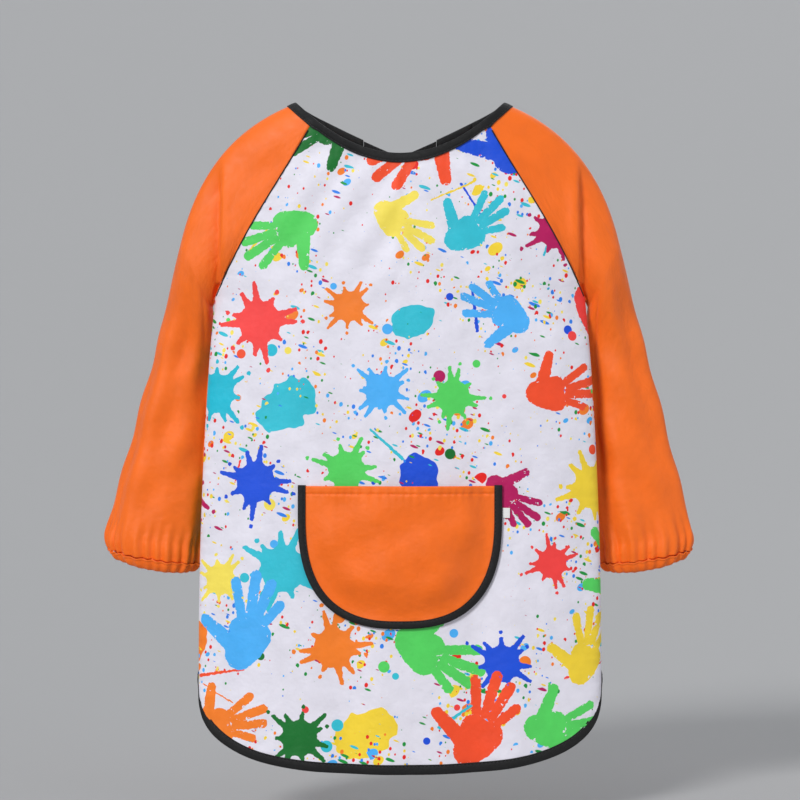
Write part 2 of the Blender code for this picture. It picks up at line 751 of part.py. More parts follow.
def pocket_rows():
    """Rows across the pocket from its foot to its mouth."""
    rows = []
    foot = POCKET_TOP - POCKET_STRAIGHT - POCKET_ROUND
    heights = [foot + POCKET_ROUND * (1 - math.cos(step / 9 * math.pi / 2)) for step in range(1, 9)]
    heights += [POCKET_TOP - POCKET_STRAIGHT, POCKET_TOP - POCKET_FACING, POCKET_TOP]
    for z in heights:
        below = max(0.0, POCKET_TOP - POCKET_STRAIGHT - z) / POCKET_ROUND
        half = POCKET_HALF_WIDTH * (1 - below**POCKET_SQUARENESS) ** (1 / POCKET_SQUARENESS)
        rim = POCKET_BINDING_WIDTH / half
        shares = [-1.0, -1.0 + rim, -0.6, -0.3, 0.0, 0.3, 0.6, 1.0 - rim, 1.0]
        row = []
        for share in shares:
            edge = (1 - pocket_reach(share * half, z)) * POCKET_HALF_WIDTH
            crown = POCKET_BULGE * smooth(POCKET_BINDING_WIDTH, 0.035, edge)
            row.append(lifted(share * half, z, POCKET_LIFT + crown)[0])
        rows.append(row)
    return rows


def make_pocket():
    rows = pocket_rows()
    cloth_piece("pocket_panel", rows, ORANGE)
    facing_back = []
    for row in rows[-2:]:
        inside = [point + Vector((0, CLOTH + FIT_GAP, 0)) for point in row[2:-2]]
        facing_back.append(inside)
    cloth_piece("pocket_facing", facing_back, ORANGE, thickness=CLOTH)
    points, targets, normals = [], [], []
    steps = 34
    for step in range(steps + 1):
        x, z = pocket_outline(mix(-1.0, 1.0, step / steps))
        point, normal = lifted(x, z, POCKET_LIFT)
        middle = lifted(0.0, POCKET_TOP - POCKET_ROUND * 0.45, POCKET_LIFT)[0]
        points.append(point)
        normals.append(normal)
        targets.append(middle)
    frames = []
    for step, (point, normal) in enumerate(zip(points, normals)):
        along = points[min(step + 1, steps)] - points[max(step - 1, 0)]
        inward = normal.cross(along).normalized()
        if inward.dot(targets[step] - point) < 0:
            inward = -inward
        frames.append((point, inward, normal))
    frames[0] = (frames[0][0] + Vector((0, 0, 0.002)), *frames[0][1:])
    frames[-1] = (frames[-1][0] + Vector((0, 0, 0.002)), *frames[-1][1:])
    swept("pocket_binding", channel(POCKET_BINDING_WIDTH, CLOTH), frames, BLACK)


TAG_START = POCKET_HALF_WIDTH + BINDING_FOLD + FIT_GAP
TAG_LIFT = CLOTH / 2 + 2 * FIT_GAP
TAG_THICKNESS = 0.0005


def make_tag():
    """The size tag stands out sideways from the right side of the pocket binding."""
    width, height = TAG_SIZE
    top = POCKET_TOP - TAG_DROP
    rows = []
    for z in (top, top - height / 2, top - height):
        row = [lifted(TAG_START + width * share, z, TAG_LIFT)[0] for share in (0.0, 0.5, 1.0)]
        rows.append(row)
    cloth_piece("size_tag", rows, WHITE, thickness=TAG_THICKNESS)


# ---- Back neck closure --------------------------------------------------------------------------
def band_frames(low_x, high_x, layer, steps=8):
    """Frames along the back neckline at one layer of the closure, each pointing down."""
    frames = []
    for step in range(steps + 1):
        x = mix(low_x, high_x, step / steps)
        z = back_neckline_z(x)
        point = Vector((x, BACK_DEPTH + layer, z))
        frames.append((point, Vector((0, 0, -1)), Vector((0, 1, 0))))
    return frames


def slab(top, bottom, thickness):
    half = thickness / 2
    return [(top, -half), (bottom, -half), (bottom, half), (top, half)]


PAD_LAYER = FIT_GAP + TAPE / 2
STRAP_LAYER = PAD_LAYER + TAPE / 2 + FIT_GAP + CLOTH / 2


def make_closure():
    strap = slab(0.0, STRAP_WIDTH, CLOTH)
    pad = slab(PAD_MARGIN, STRAP_WIDTH - PAD_MARGIN, TAPE)
    reach = STRAP_HALF_LENGTH
    swept("closure_strap_outer", strap, band_frames(-reach, reach, STRAP_LAYER), BLACK)
    swept("closure_strap_inner", strap, band_frames(-reach, reach, -STRAP_LAYER), BLACK)
    pads = (-TAPE_HALF_LENGTH, TAPE_HALF_LENGTH)
    swept("hook_tape", pad, band_frames(*pads, PAD_LAYER), BLACK, roughness=0.9)
    swept("loop_tape", pad, band_frames(*pads, -PAD_LAYER), BLACK, roughness=0.95)


# ---- Pivots of the moving pieces ----------------------------------------------------------------
def hang_on_pivot(name, place, pieces):
    """Puts an empty on a joint's axis and makes it the parent and the origin of the pieces that move."""
    pivot = bpy.data.objects.new(name, None)
    pivot.location = place
    bpy.context.scene.collection.objects.link(pivot)
    for piece_name in pieces:
        piece = bpy.data.objects[piece_name]
        piece.data.transform(Matrix.Translation(-Vector(place)))
        piece.parent = pivot


def place_pivots():
    binding_face = BACK_DEPTH + BINDING_HALF + 0.0001
    strap_face = BACK_DEPTH + STRAP_LAYER + CLOTH / 2 + 0.0001
    flap_pieces = {
        "left": ["back_flap_left", "edge_binding_flap_left", "neck_binding_flap_left"],
        "right": [
            "back_flap_right", "edge_binding_flap_right", "neck_binding_flap_right",
            "closure_strap_inner", "loop_tape",
        ],
    }
    for side_name, side in SIDES.items():
        fold_top = (side * FLAP_NECK_X, binding_face, back_neckline_z(FLAP_NECK_X))
        hang_on_pivot("back_flap_pivot_" + side_name, fold_top, flap_pieces[side_name])
        shoulder = (side * (SLEEVE_TOP_OUTER[0] + CLOTH), SLEEVE_TOP_SET_BACK, SLEEVE_TOP_OUTER[1] + CLOTH / 2)
        sleeve = [part + side_name for part in ("sleeve_lower_", "cuff_casing_", "cuff_elastic_")]
        hang_on_pivot("sleeve_pivot_" + side_name, shoulder, sleeve)
    root = (-STRAP_HALF_LENGTH, strap_face, back_neckline_z(STRAP_HALF_LENGTH) - STRAP_WIDTH / 2)
    hang_on_pivot("closure_strap_pivot", root, ["closure_strap_outer", "hook_tape"])
    seam = lifted(TAG_START, POCKET_TOP - TAG_DROP, TAG_LIFT + TAG_THICKNESS)[0]
    hang_on_pivot("size_tag_pivot", (TAG_START, seam.y, seam.z - TAG_SIZE[1] / 2), ["size_tag"])


# ---- The whole smock ----------------------------------------------------------------------------
def clear_scene():
    for old in list(bpy.data.objects):
        bpy.data.objects.remove(old, do_unlink=True)


def make_smock():
    make_front_panel()
    for side_name in SIDES:
        make_back_panel(side_name)
        make_flap(side_name)
        make_sleeve_upper(side_name)
        make_sleeve_lower(side_name)
        make_cuff(side_name)
        make_flap_edge_binding(side_name)
        make_neck_binding_flap(side_name)
        for face in ("front", "back"):
            make_piping(side_name, face)
    make_edge_binding()
    make_neck_binding()
    make_pocket()
    make_tag()
    make_closure()
    place_pivots()


clear_scene()
make_smock()
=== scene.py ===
"""Looks of the child's art smock: coated print cloth, orange sleeves, gathered cuffs, bound edges.

Metres, +Z up, the front faces -Y. The shape follows the same formulas as the CAD part, on finer grids,
with the folds, gathers and puckers of the hanging cloth laid on top.
"""

import math
import random

import bmesh
import bpy
import numpy as np
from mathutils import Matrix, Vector


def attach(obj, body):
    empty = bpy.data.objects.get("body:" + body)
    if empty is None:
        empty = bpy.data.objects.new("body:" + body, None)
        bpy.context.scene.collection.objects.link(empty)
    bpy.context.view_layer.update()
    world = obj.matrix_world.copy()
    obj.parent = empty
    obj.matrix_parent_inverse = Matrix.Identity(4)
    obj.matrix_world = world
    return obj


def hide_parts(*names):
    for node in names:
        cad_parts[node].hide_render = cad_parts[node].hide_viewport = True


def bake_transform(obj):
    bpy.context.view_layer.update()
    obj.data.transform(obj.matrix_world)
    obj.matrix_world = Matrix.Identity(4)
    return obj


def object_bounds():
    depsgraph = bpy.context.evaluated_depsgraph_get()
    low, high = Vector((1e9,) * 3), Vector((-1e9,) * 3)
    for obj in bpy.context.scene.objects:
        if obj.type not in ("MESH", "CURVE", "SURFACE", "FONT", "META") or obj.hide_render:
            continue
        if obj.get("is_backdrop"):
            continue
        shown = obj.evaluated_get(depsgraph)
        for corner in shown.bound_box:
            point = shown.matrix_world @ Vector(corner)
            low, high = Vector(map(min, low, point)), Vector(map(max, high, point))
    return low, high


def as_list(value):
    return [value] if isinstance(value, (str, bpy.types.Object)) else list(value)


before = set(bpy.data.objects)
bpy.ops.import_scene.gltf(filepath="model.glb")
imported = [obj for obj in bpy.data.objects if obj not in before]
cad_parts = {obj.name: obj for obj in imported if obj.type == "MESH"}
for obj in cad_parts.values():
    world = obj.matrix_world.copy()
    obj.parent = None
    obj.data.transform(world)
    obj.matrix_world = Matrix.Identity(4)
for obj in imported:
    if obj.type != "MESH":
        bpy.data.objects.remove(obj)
cad_low, cad_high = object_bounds()

# ---- Sizes of the smock, the same as the CAD part's apart from CLOTH and FIT_GAP -----------------
FRONT_LENGTH = 0.600
SIDE_HEM_RISE = 0.075
HEM_HALF_WIDTH = 0.180
UNDERARM_HALF_WIDTH = 0.166
UNDERARM_Z = -0.178
NECK_HALF_WIDTH = 0.094
NECK_POINT_DROP = 0.004
FRONT_NECK_DROP = 0.051
BACK_NECK_DROP = 0.049
FRONT_RAGLAN_X = 0.077
BACK_RAGLAN_X = 0.072
NECK_DEPTH = 0.025
CHEST_DEPTH = 0.044
BACK_DEPTH = 0.028
SIDE_FORWARD = 0.010
CREASE_TOP_Z = -0.070

SHOULDER_CORNER = (0.176, -0.034)
SLEEVE_TOP_OUTER = (0.198, -0.130)
SLEEVE_TOP_INNER = (0.170, -0.186)
SLEEVE_MID_INNER = (0.157, -0.300)
SLEEVE_END_OUTER = (0.266, -0.391)
SLEEVE_END_INNER = (0.178, -0.403)
CUFF_OUTER = (0.257, -0.409)
CUFF_INNER = (0.187, -0.421)
SLEEVE_TOP_HALF_DEPTH = 0.023
SLEEVE_TOP_SET_BACK = 0.010
SLEEVE_HALF_DEPTH = 0.026
CUFF_HALF_DEPTH = 0.021
SLEEVE_SET_BACK = 0.026
SHOULDER_FULLNESS = 0.05

FLAP_NECK_X = 0.066
FLAP_END = (0.106, -0.400)

CLOTH = 0.0009                # a little thinner than the CAD part's shells
FIT_GAP = 0.0004
TAPE = 0.0008
BINDING_WIDTH = 0.0090
BINDING_FOLD = 0.0012
POCKET_BINDING_WIDTH = 0.0070
PIPING_RADIUS = 0.0006

POCKET_HALF_WIDTH = 0.089
POCKET_TOP = -0.3465
POCKET_STRAIGHT = 0.024
POCKET_ROUND = 0.1005
POCKET_SQUARENESS = 2.6
POCKET_BULGE = 0.0085
POCKET_FACING = 0.0065
TAG_SIZE = (0.0065, 0.0090)
TAG_DROP = 0.0190

STRAP_HALF_LENGTH = 0.033
STRAP_WIDTH = 0.0100
STRAP_LAYER = 0.0023
STRAP_GAP = 0.0003
CASING_HEIGHT = 0.0110
CUFF_PLEATS = 27

HEM_Z = -FRONT_LENGTH
SIDE_HEM_Z = HEM_Z + SIDE_HEM_RISE
SIDES = {"left": -1, "right": 1}
PATTERN_UV = "flat_pattern"


# ---- Camera --------------------------------------------------------------------------------------
CAMERA_DISTANCE = 2.4
CAMERA_LENS = 120.0
CAMERA_HEIGHT = -0.270
bpy.context.scene.view_settings.view_transform = "Standard"
camera_data = bpy.data.cameras.new("Camera")
camera_data.lens = CAMERA_LENS
camera_data.sensor_width = 36.0
camera = bpy.data.objects.new("Camera", camera_data)
camera.location = (0.0, -CAMERA_DISTANCE, CAMERA_HEIGHT)
camera.rotation_euler = (math.radians(90.0), 0.0, 0.0)
bpy.context.scene.collection.objects.link(camera)
bpy.context.scene.camera = camera


# ---- Small helpers -------------------------------------------------------------------------------
def mix(a, b, share):
    return a + (b - a) * share


def smooth(low, high, value):
    share = np.clip((value - low) / (high - low), 0.0, 1.0)
    return share * share * (3 - 2 * share)


def arch(share):
    return np.sqrt(np.clip(1.0 - share * share, 0.0, None))


def stacked(*parts):
    """Coordinates as one array whose last axis is x, y, z."""
    return np.stack(np.broadcast_arrays(*parts), axis=-1)


def unit(vectors):
    length = np.linalg.norm(vectors, axis=-1, keepdims=True)
    return vectors / np.maximum(length, 1e-12)


def bend(start, corner, end, share):
    """Points on the quadratic curve from start to end that corner pulls on."""
    keep = 1 - share
    return keep * keep * start + 2 * share * keep * corner + share * share * end


def mirrored(points, side):
    return points * np.array([side, 1.0, 1.0])


# ---- Shape of the hanging smock ------------------------------------------------------------------
def side_half_width(z):
    share = np.clip((UNDERARM_Z - z) / 0.330, 0.0, 1.0)
    return mix(UNDERARM_HALF_WIDTH, HEM_HALF_WIDTH, 1 - (1 - share) ** 2)


def shoulder_half_width(z):
    start, corner, end = -NECK_POINT_DROP, SHOULDER_CORNER[1], SLEEVE_TOP_OUTER[1]
    square = start - 2 * corner + end
    half = corner - start
    inside = np.clip(half * half - square * (start - np.minimum(z, start)), 0.0, None)
    share = (-half - np.sqrt(inside)) / square
    curved = bend(NECK_HALF_WIDTH, SHOULDER_CORNER[0], SLEEVE_TOP_OUTER[0], share)
    slope = (SLEEVE_END_OUTER[0] - SLEEVE_TOP_OUTER[0]) / (SLEEVE_TOP_OUTER[1] - SLEEVE_END_OUTER[1])
    straight = SLEEVE_TOP_OUTER[0] + slope * (SLEEVE_TOP_OUTER[1] - z)
    return np.where(share <= 1, curved, straight)


def front_depth(z):
    fall = np.maximum(0.0, -FRONT_NECK_DROP - z)
    return NECK_DEPTH + (CHEST_DEPTH - NECK_DEPTH) * (1 - np.exp(-fall / 0.12))


def fold_y(z):
    return -SIDE_FORWARD * smooth(0.0, 0.060, UNDERARM_Z - z)


def front_neckline_z(x):
    rise = (FRONT_NECK_DROP - NECK_POINT_DROP) / NECK_HALF_WIDTH**2
    return -FRONT_NECK_DROP + rise * x * x


def back_neckline_z(x):
    share = np.abs(x) / NECK_HALF_WIDTH
    return -BACK_NECK_DROP + (BACK_NECK_DROP - NECK_POINT_DROP) * (0.86 * share + 0.14 * share * share)


def fold_line_x(z):
    top_z = back_neckline_z(FLAP_NECK_X)
    return mix(FLAP_NECK_X, FLAP_END[0], (top_z - z) / (top_z - FLAP_END[1]))


def back_edge_x(z):
    top_z = -BACK_NECK_DROP
    return 0.001 + (FLAP_END[0] - 0.001) * (top_z - z) / (top_z - FLAP_END[1])


def hem_z(x):
    share = np.minimum(1.0, np.abs(x) / HEM_HALF_WIDTH)
    return SIDE_HEM_Z - SIDE_HEM_RISE * (1 - share**2.85) ** (1 / 2.85)


def raglan_x(z, top):
    share = np.clip((top[1] - z) / (top[1] - UNDERARM_Z), 0.0, 1.0)
    return mix(top[0], UNDERARM_HALF_WIDTH, share) + 0.006 * np.sin(math.pi * share) * share


FRONT_RAGLAN_TOP = (FRONT_RAGLAN_X, float(front_neckline_z(FRONT_RAGLAN_X)))
BACK_RAGLAN_TOP = (BACK_RAGLAN_X, float(back_neckline_z(BACK_RAGLAN_X)))


def front_edge_x(z):
    return np.where(z <= UNDERARM_Z, side_half_width(z), raglan_x(z, FRONT_RAGLAN_TOP))


def front_base_y(x, z):
    reach = np.abs(x)
    side = fold_y(z)
    low = side - (front_depth(z) + side) * arch(np.minimum(1.0, reach / side_half_width(z)))
    whole = front_depth(z) * arch(np.minimum(1.0, reach / shoulder_half_width(z)))
    body = front_depth(z) * arch(np.minimum(1.0, reach / UNDERARM_HALF_WIDTH))
    high = -mix(body, whole, smooth(UNDERARM_Z, CREASE_TOP_Z, z))
    return np.where(z <= UNDERARM_Z, low, high)


def back_base_y(x, z):
    flat = fold_line_x(z)
    past = np.maximum(0.0, np.abs(x) - flat)
    low = mix(fold_y(z), BACK_DEPTH, arch(np.minimum(1.0, past / (side_half_width(z) - flat))))
    whole = arch(np.minimum(1.0, past / (shoulder_half_width(z) - flat)))
    body = arch(np.minimum(1.0, past / (UNDERARM_HALF_WIDTH - flat)))
    high = BACK_DEPTH * mix(body, whole, smooth(UNDERARM_Z, CREASE_TOP_Z, z))
    return np.where(z <= UNDERARM_Z, low, high)


# ---- Folds of the hanging cloth ------------------------------------------------------------------
FOLD_DEPTH = 0.0030           # height of the long soft folds of the body
PUCKER = 0.0004               # height of the fine puckers that the seams pull in


def long_folds(x, z):
    """Soft folds that hang from the chest and open out towards the hem, as heights off the cloth."""
    fall = smooth(-0.10, -0.50, z)
    sway = 0.35 * np.sin(11.0 * z + 0.6) + 0.20 * np.sin(23.0 * z + 2.0)
    wide = np.sin(2 * math.pi * x / 0.112 + 1.1 + sway)
    narrow = np.sin(2 * math.pi * x / 0.057 + 4.0 - 1.7 * sway)
    return FOLD_DEPTH * ((0.25 + 0.75 * fall) * 0.7 * wide + 0.30 * fall * narrow)


def drag_lines(x, z):
    """Shallow drags that run from the neckline's shoulder ends down towards the chest."""
    across = np.abs(x) * 0.80 + (z + 0.05) * 0.60
    along = np.abs(x) * 0.60 - (z + 0.05) * 0.80
    strength = smooth(0.16, 0.06, along) * smooth(-0.02, 0.02, along)
    return 0.0013 * strength * np.sin(2 * math.pi * across / 0.034 + 0.9 * np.sign(x))


def seam_puckers(distance, along, pitch=0.011):
    """Fine puckers square to a seam, by the distance from it and the place along it."""
    fade = np.exp(-distance / 0.006) * smooth(0.0, 0.0025, distance)
    wobble = np.sin(2 * math.pi * along / pitch + 1.3 * np.sin(along * 190.0))
    return PUCKER * 1.6 * fade * wobble


def front_relief(x, z):
    """Height of the front panel's folds, none at its seams."""
    inset = front_edge_x(z) - np.abs(x)
    ease = smooth(0.0, 0.030, inset)
    near_top = smooth(0.0, 0.030, front_neckline_z(x) - z)
    folds = (long_folds(x, z) + drag_lines(x, z)) * ease * (0.15 + 0.85 * near_top)
    hem_distance = np.maximum(0.0, z - hem_z(x) - BINDING_WIDTH)
    neck_distance = np.maximum(0.0, front_neckline_z(x) - z - BINDING_WIDTH)
    puckers = seam_puckers(np.maximum(inset, 0.0), z) + seam_puckers(hem_distance, x, 0.013)
    return folds + puckers + seam_puckers(neck_distance, x, 0.009)


def on_front(x, z):
    return stacked(x, front_base_y(x, z) - front_relief(x, z), z)


def back_relief(x, z):
    past = np.abs(x) - fold_line_x(z)
    inset = np.where(z <= UNDERARM_Z, side_half_width(z), raglan_x(z, BACK_RAGLAN_TOP)) - np.abs(x)
    ease = smooth(0.0, 0.05, inset) * smooth(-0.05, 0.03, past)
    return -0.6 * long_folds(x * 1.1 + 0.02, z) * ease * smooth(-0.05, -0.15, z)


def on_back(x, z):
    return stacked(x, back_base_y(x, z) + back_relief(x, z), z)


# ---- Meshes from grids of points -----------------------------------------------------------------
def link(obj):
    bpy.context.scene.collection.objects.link(obj)
    return obj


def grid_piece(name, points, flat=None, around=False, thickness=0.0, material=None):
    """A sheet through a grid of points (rows, columns, 3), closed round each row where around is true.
    flat holds each point's place on the flat pattern, with one column more than points where it closes."""
    rows, columns = points.shape[:2]
    steps = columns if around else columns - 1
    row, column = np.meshgrid(np.arange(rows - 1), np.arange(steps), indexing="ij")
    after = (column + 1) % columns
    corners = [(row, column), (row, after), (row + 1, after), (row + 1, column)]
    faces = np.stack([r * columns + c for r, c in corners], axis=-1).reshape(-1, 4)
    mesh = bpy.data.meshes.new(name)
    mesh.from_pydata(points.reshape(-1, 3).tolist(), [], faces.tolist())
    if flat is not None:
        flat_corners = [(row, column), (row, column + 1), (row + 1, column + 1), (row + 1, column)]
        places = np.stack([flat[r, c] for r, c in flat_corners], axis=2)
        layer = mesh.uv_layers.new(name=PATTERN_UV)
        layer.data.foreach_set("uv", places.astype(np.float32).ravel())
    mesh.shade_smooth()
    piece = link(bpy.data.objects.new(name, mesh))
    if thickness:
        solid = piece.modifiers.new("Cloth thickness", "SOLIDIFY")
        solid.thickness = thickness
        solid.offset = 0.0
    if material:
        mesh.materials.append(material)
    return piece


def grid_normals(points, around=False):
    down = np.gradient(points, axis=0)
    if around:
        across = (np.roll(points, -1, axis=1) - np.roll(points, 1, axis=1)) / 2
    else:
        across = np.gradient(points, axis=1)
    return unit(np.cross(across, down))


def run_along(points):
    """Length along a line of points, from its first point."""
    steps = np.linalg.norm(np.diff(points, axis=0), axis=-1)
    return np.concatenate([[0.0], np.cumsum(steps)])


def read_at(places, run, line):
    """The points of line at those lengths along it."""
    return np.stack([np.interp(places, run, line[:, axis]) for axis in range(3)], axis=-1)


def tape_piece(name, edge, rim, profile, material, facing, around=False, relief=0.0):
    """A tape whose profile (inward, outward) is carried along edge, with inward running from edge to rim.
    facing is (number of a point, the way that the tape's outer side looks there)."""
    shape = np.array(profile)
    length = run_along(edge)
    girth = run_along(np.concatenate([shape, shape[:1]]))
    if around:
        edge, rim = (np.concatenate([ends[-1:], ends, ends[:2]]) for ends in (edge, rim))
        length = np.append(length, length[-1] + length[1])
        facing = (facing[0] + 1, facing[1])
    outward = outward_of(edge, rim, facing)
    inward = unit(rim - edge)
    if around:
        edge, inward, outward = edge[1:-1], inward[1:-1], outward[1:-1]
    height = shape[:, 1] + relief
    if around and np.ndim(relief):
        height = np.concatenate([height, height[:1]])
    height = np.broadcast_to(height, (len(edge), len(shape)))
    points = edge[:, None] + inward[:, None] * shape[:, :1] + outward[:, None] * height[..., None]
    flat = stacked(length[:, None], girth[None, :])
    piece = grid_piece(name, points, flat, around=True, material=material)
    close_solid(piece, 0 if around else len(shape))
    return piece


def close_solid(piece, end_points):
    """Welds a ring's two ends, or caps the two open ends that have end_points points each."""
    work = bmesh.new()
    work.from_mesh(piece.data)
    work.verts.ensure_lookup_table()
    if end_points:
        work.faces.new(work.verts[:end_points])
        work.faces.new(work.verts[-end_points:])
    else:
        bmesh.ops.remove_doubles(work, verts=work.verts, dist=1e-7)
    bmesh.ops.recalc_face_normals(work, faces=work.faces)
    work.to_mesh(piece.data)
    work.free()


# ---- Shader building blocks ----------------------------------------------------------------------
def from_srgb(red, green, blue):
    """A screen colour, 0 to 255, as the linear colour that a shader takes."""
    levels = [level / 255 for level in (red, green, blue)]
    linear = [
        level / 12.92 if level <= 0.04045 else ((level + 0.055) / 1.055) ** 2.4 for level in levels
    ]
    return (*linear, 1.0)


def new_material(name):
    material = bpy.data.materials.new(name)
    material.use_nodes = True
    return material, material.node_tree, material.node_tree.nodes["Principled BSDF"]


class Recipe:
    """Adds nodes to a material's tree. A place is a vector socket, and a field is a number socket."""

    def __init__(self, tree):
        self.tree = tree

    def node(self, kind, **settings):
        made = self.tree.nodes.new(kind)
        for name, value in settings.items():
            setattr(made, name, value)
        return made

    def feed(self, target, value):
        if isinstance(value, bpy.types.NodeSocket):
            self.tree.links.new(value, target)
        else:
            target.default_value = value

    def math(self, operation, *values):
        made = self.node("ShaderNodeMath", operation=operation)
        for target, value in zip(made.inputs, values):
            self.feed(target, value)
        return made.outputs[0]

    def vector(self, operation, *values, scale=None):
        made = self.node("ShaderNodeVectorMath", operation=operation)
        for target, value in zip(made.inputs, values):
            self.feed(target, value)
        if scale is not None:
            self.feed(made.inputs["Scale"], scale)
        scalar = operation in ("LENGTH", "DISTANCE", "DOT_PRODUCT")
        return made.outputs["Value" if scalar else "Vector"]

    def pattern_place(self):
        return self.node("ShaderNodeUVMap", uv_map=PATTERN_UV).outputs[0]

    def noise(self, place, scale, detail, roughness=0.5):
        made = self.node("ShaderNodeTexNoise", noise_dimensions="3D")
        self.feed(made.inputs["Vector"], place)
        made.inputs["Scale"].default_value = scale
        made.inputs["Detail"].default_value = detail
        made.inputs["Roughness"].default_value = roughness
        return made.outputs[0]

    def clamped(self, value, low=0.0, high=1.0):
        return self.math("MINIMUM", self.math("MAXIMUM", value, low), high)

    def spread(self, value, low, high, to_low=0.0, to_high=1.0):
        slope = (to_high - to_low) / (high - low)
        moved = self.math("MULTIPLY_ADD", value, slope, to_low - low * slope)
        return self.clamped(moved, min(to_low, to_high), max(to_low, to_high))

    def blended(self, share, under, over):
        made = self.node("ShaderNodeMix", data_type="RGBA", clamp_factor=False)
        self.feed(made.inputs[0], share)
        self.feed(made.inputs[6], under)
        self.feed(made.inputs[7], over)
        return made.outputs[2]

    def bump(self, height, distance, below=None):
        made = self.node("ShaderNodeBump")
        made.inputs["Distance"].default_value = distance
        self.feed(made.inputs["Height"], height)
        if below is not None:
            self.feed(made.inputs["Normal"], below)
        return made.outputs[0]


THREAD_PITCH = 0.00055


def weave_height(recipe, place):
    """Plain weave: two sets of threads that pass over and under each other."""
    parts = recipe.node("ShaderNodeSeparateXYZ")
    recipe.feed(parts.inputs[0], place)
    turn = math.pi / THREAD_PITCH
    warp = recipe.math("SINE", recipe.math("MULTIPLY", parts.outputs[0], turn))
    weft = recipe.math("SINE", recipe.math("MULTIPLY", parts.outputs[1], turn))
    crossed = recipe.math("MULTIPLY", warp, weft)
    return recipe.math("ABSOLUTE", crossed)


def dress_cloth(recipe, surface, colour, crinkle=0.00035):
    """Thin coated polyester: weave, soft crinkles, a satin sheen, and painted shade on the crinkles: the
    colour darkens a little in their hollows and lightens on their crowns.
    """
    place = recipe.pattern_place()
    soft = recipe.noise(place, 42.0, 3.0, 0.55)
    fine = recipe.noise(place, 210.0, 2.0, 0.5)
    crinkled = recipe.bump(soft, crinkle * 4)
    crinkled = recipe.bump(fine, crinkle * 0.45, crinkled)
    normal = recipe.bump(weave_height(recipe, place), 0.00006, crinkled)
    recipe.feed(surface.inputs["Normal"], normal)
    # painted shade and highlight: the colour follows the soft crinkles' height, darker where they sink and
    # lighter where they rise
    crinkle_shade = recipe.spread(soft, 0.3, 0.7, 0.93, 1.04)
    shade = recipe.node("ShaderNodeMix", data_type="RGBA", blend_type="MULTIPLY")
    shade.inputs[0].default_value = 1.0
    recipe.feed(shade.inputs[6], colour)
    recipe.feed(shade.inputs[7], crinkle_shade)
    recipe.feed(surface.inputs["Base Color"], shade.outputs[2])
    recipe.feed(surface.inputs["Roughness"], recipe.spread(fine, 0.3, 0.7, 0.42, 0.54))
    surface.inputs["Specular IOR Level"].default_value = 0.35
    surface.inputs["Sheen Weight"].default_value = 0.10
    surface.inputs["Sheen Roughness"].default_value = 0.45


def plain_cloth(name, colour, crinkle):
    material, tree, surface = new_material(name)
    dress_cloth(Recipe(tree), surface, colour, crinkle)
    return material


def ribbed_tape(name, colour, pitch=0.0009, depth=0.00012, roughness=0.62):
    """Woven tape with fine ribs across it, flecked where the light catches the threads."""
    material, tree, surface = new_material(name)
    recipe = Recipe(tree)
    place = recipe.pattern_place()
    parts = recipe.node("ShaderNodeSeparateXYZ")
    recipe.feed(parts.inputs[0], place)
    rib = recipe.math("SINE", recipe.math("MULTIPLY", parts.outputs[0], 2 * math.pi / pitch))
    uneven = recipe.noise(place, 260.0, 2.0)
    height = recipe.math("MULTIPLY_ADD", rib, 0.5, recipe.math("MULTIPLY", uneven, 1.2))
    recipe.feed(surface.inputs["Normal"], recipe.bump(height, depth))
    # painted glints: random specks of a lighter colour where light would catch the threads
    painted_glint = recipe.spread(recipe.noise(place, 1500.0, 1.0), 0.45, 0.75)
    highlight_colour = tuple(min(1.0, c * 1.8 + 0.004) for c in colour[:3]) + (1.0,)
    recipe.feed(surface.inputs["Base Color"], recipe.blended(painted_glint, colour, highlight_colour))
    dull = recipe.spread(uneven, 0.3, 0.7, roughness - 0.08, roughness + 0.08)
    recipe.feed(surface.inputs["Roughness"], dull)
    surface.inputs["Specular IOR Level"].default_value = 0.3
    surface.inputs["Sheen Weight"].default_value = 0.08
    return material


def thread_material(name, colour):
    material, tree, surface = new_material(name)
    recipe = Recipe(tree)
    place = recipe.node("ShaderNodeTexCoord").outputs["Object"]
    twist = recipe.noise(place, 2400.0, 1.0)
    recipe.feed(surface.inputs["Normal"], recipe.bump(twist, 0.00008))
    # painted shade: the thread's colour darkens where its twist bump sinks
    dark = tuple(c * 0.75 for c in colour[:3]) + (1.0,)
    recipe.feed(surface.inputs["Base Color"], recipe.blended(twist, dark, colour))
    surface.inputs["Roughness"].default_value = 0.5
    return material


# ---- The printed cloth ---------------------------------------------------------------------------
CLOTH_WHITE = from_srgb(232, 229, 240)
TEAL = from_srgb(20, 190, 215)
AQUA = from_srgb(45, 195, 215)
SKY = from_srgb(72, 178, 250)
BLUE = from_srgb(35, 130, 238)
ROYAL = from_srgb(10, 78, 220)
RED = from_srgb(235, 22, 14)
CORAL = from_srgb(250, 64, 62)
VERMILION = from_srgb(250, 78, 34)
MAGENTA = from_srgb(186, 0, 92)
TANGERINE = from_srgb(250, 128, 30)
YELLOW = from_srgb(250, 216, 52)
LEMON = from_srgb(250, 228, 90)
LEAF = from_srgb(84, 216, 96)
GREEN = from_srgb(0, 150, 56)
FOREST = from_srgb(0, 112, 38)
MM = 0.001
EDGE_SOFTNESS = 0.00035
BANDS = ((0, 170), (170, 330), (330, 470), (470, 620))   # drops below the neck point, in millimetres
BAND_MARGIN = 14


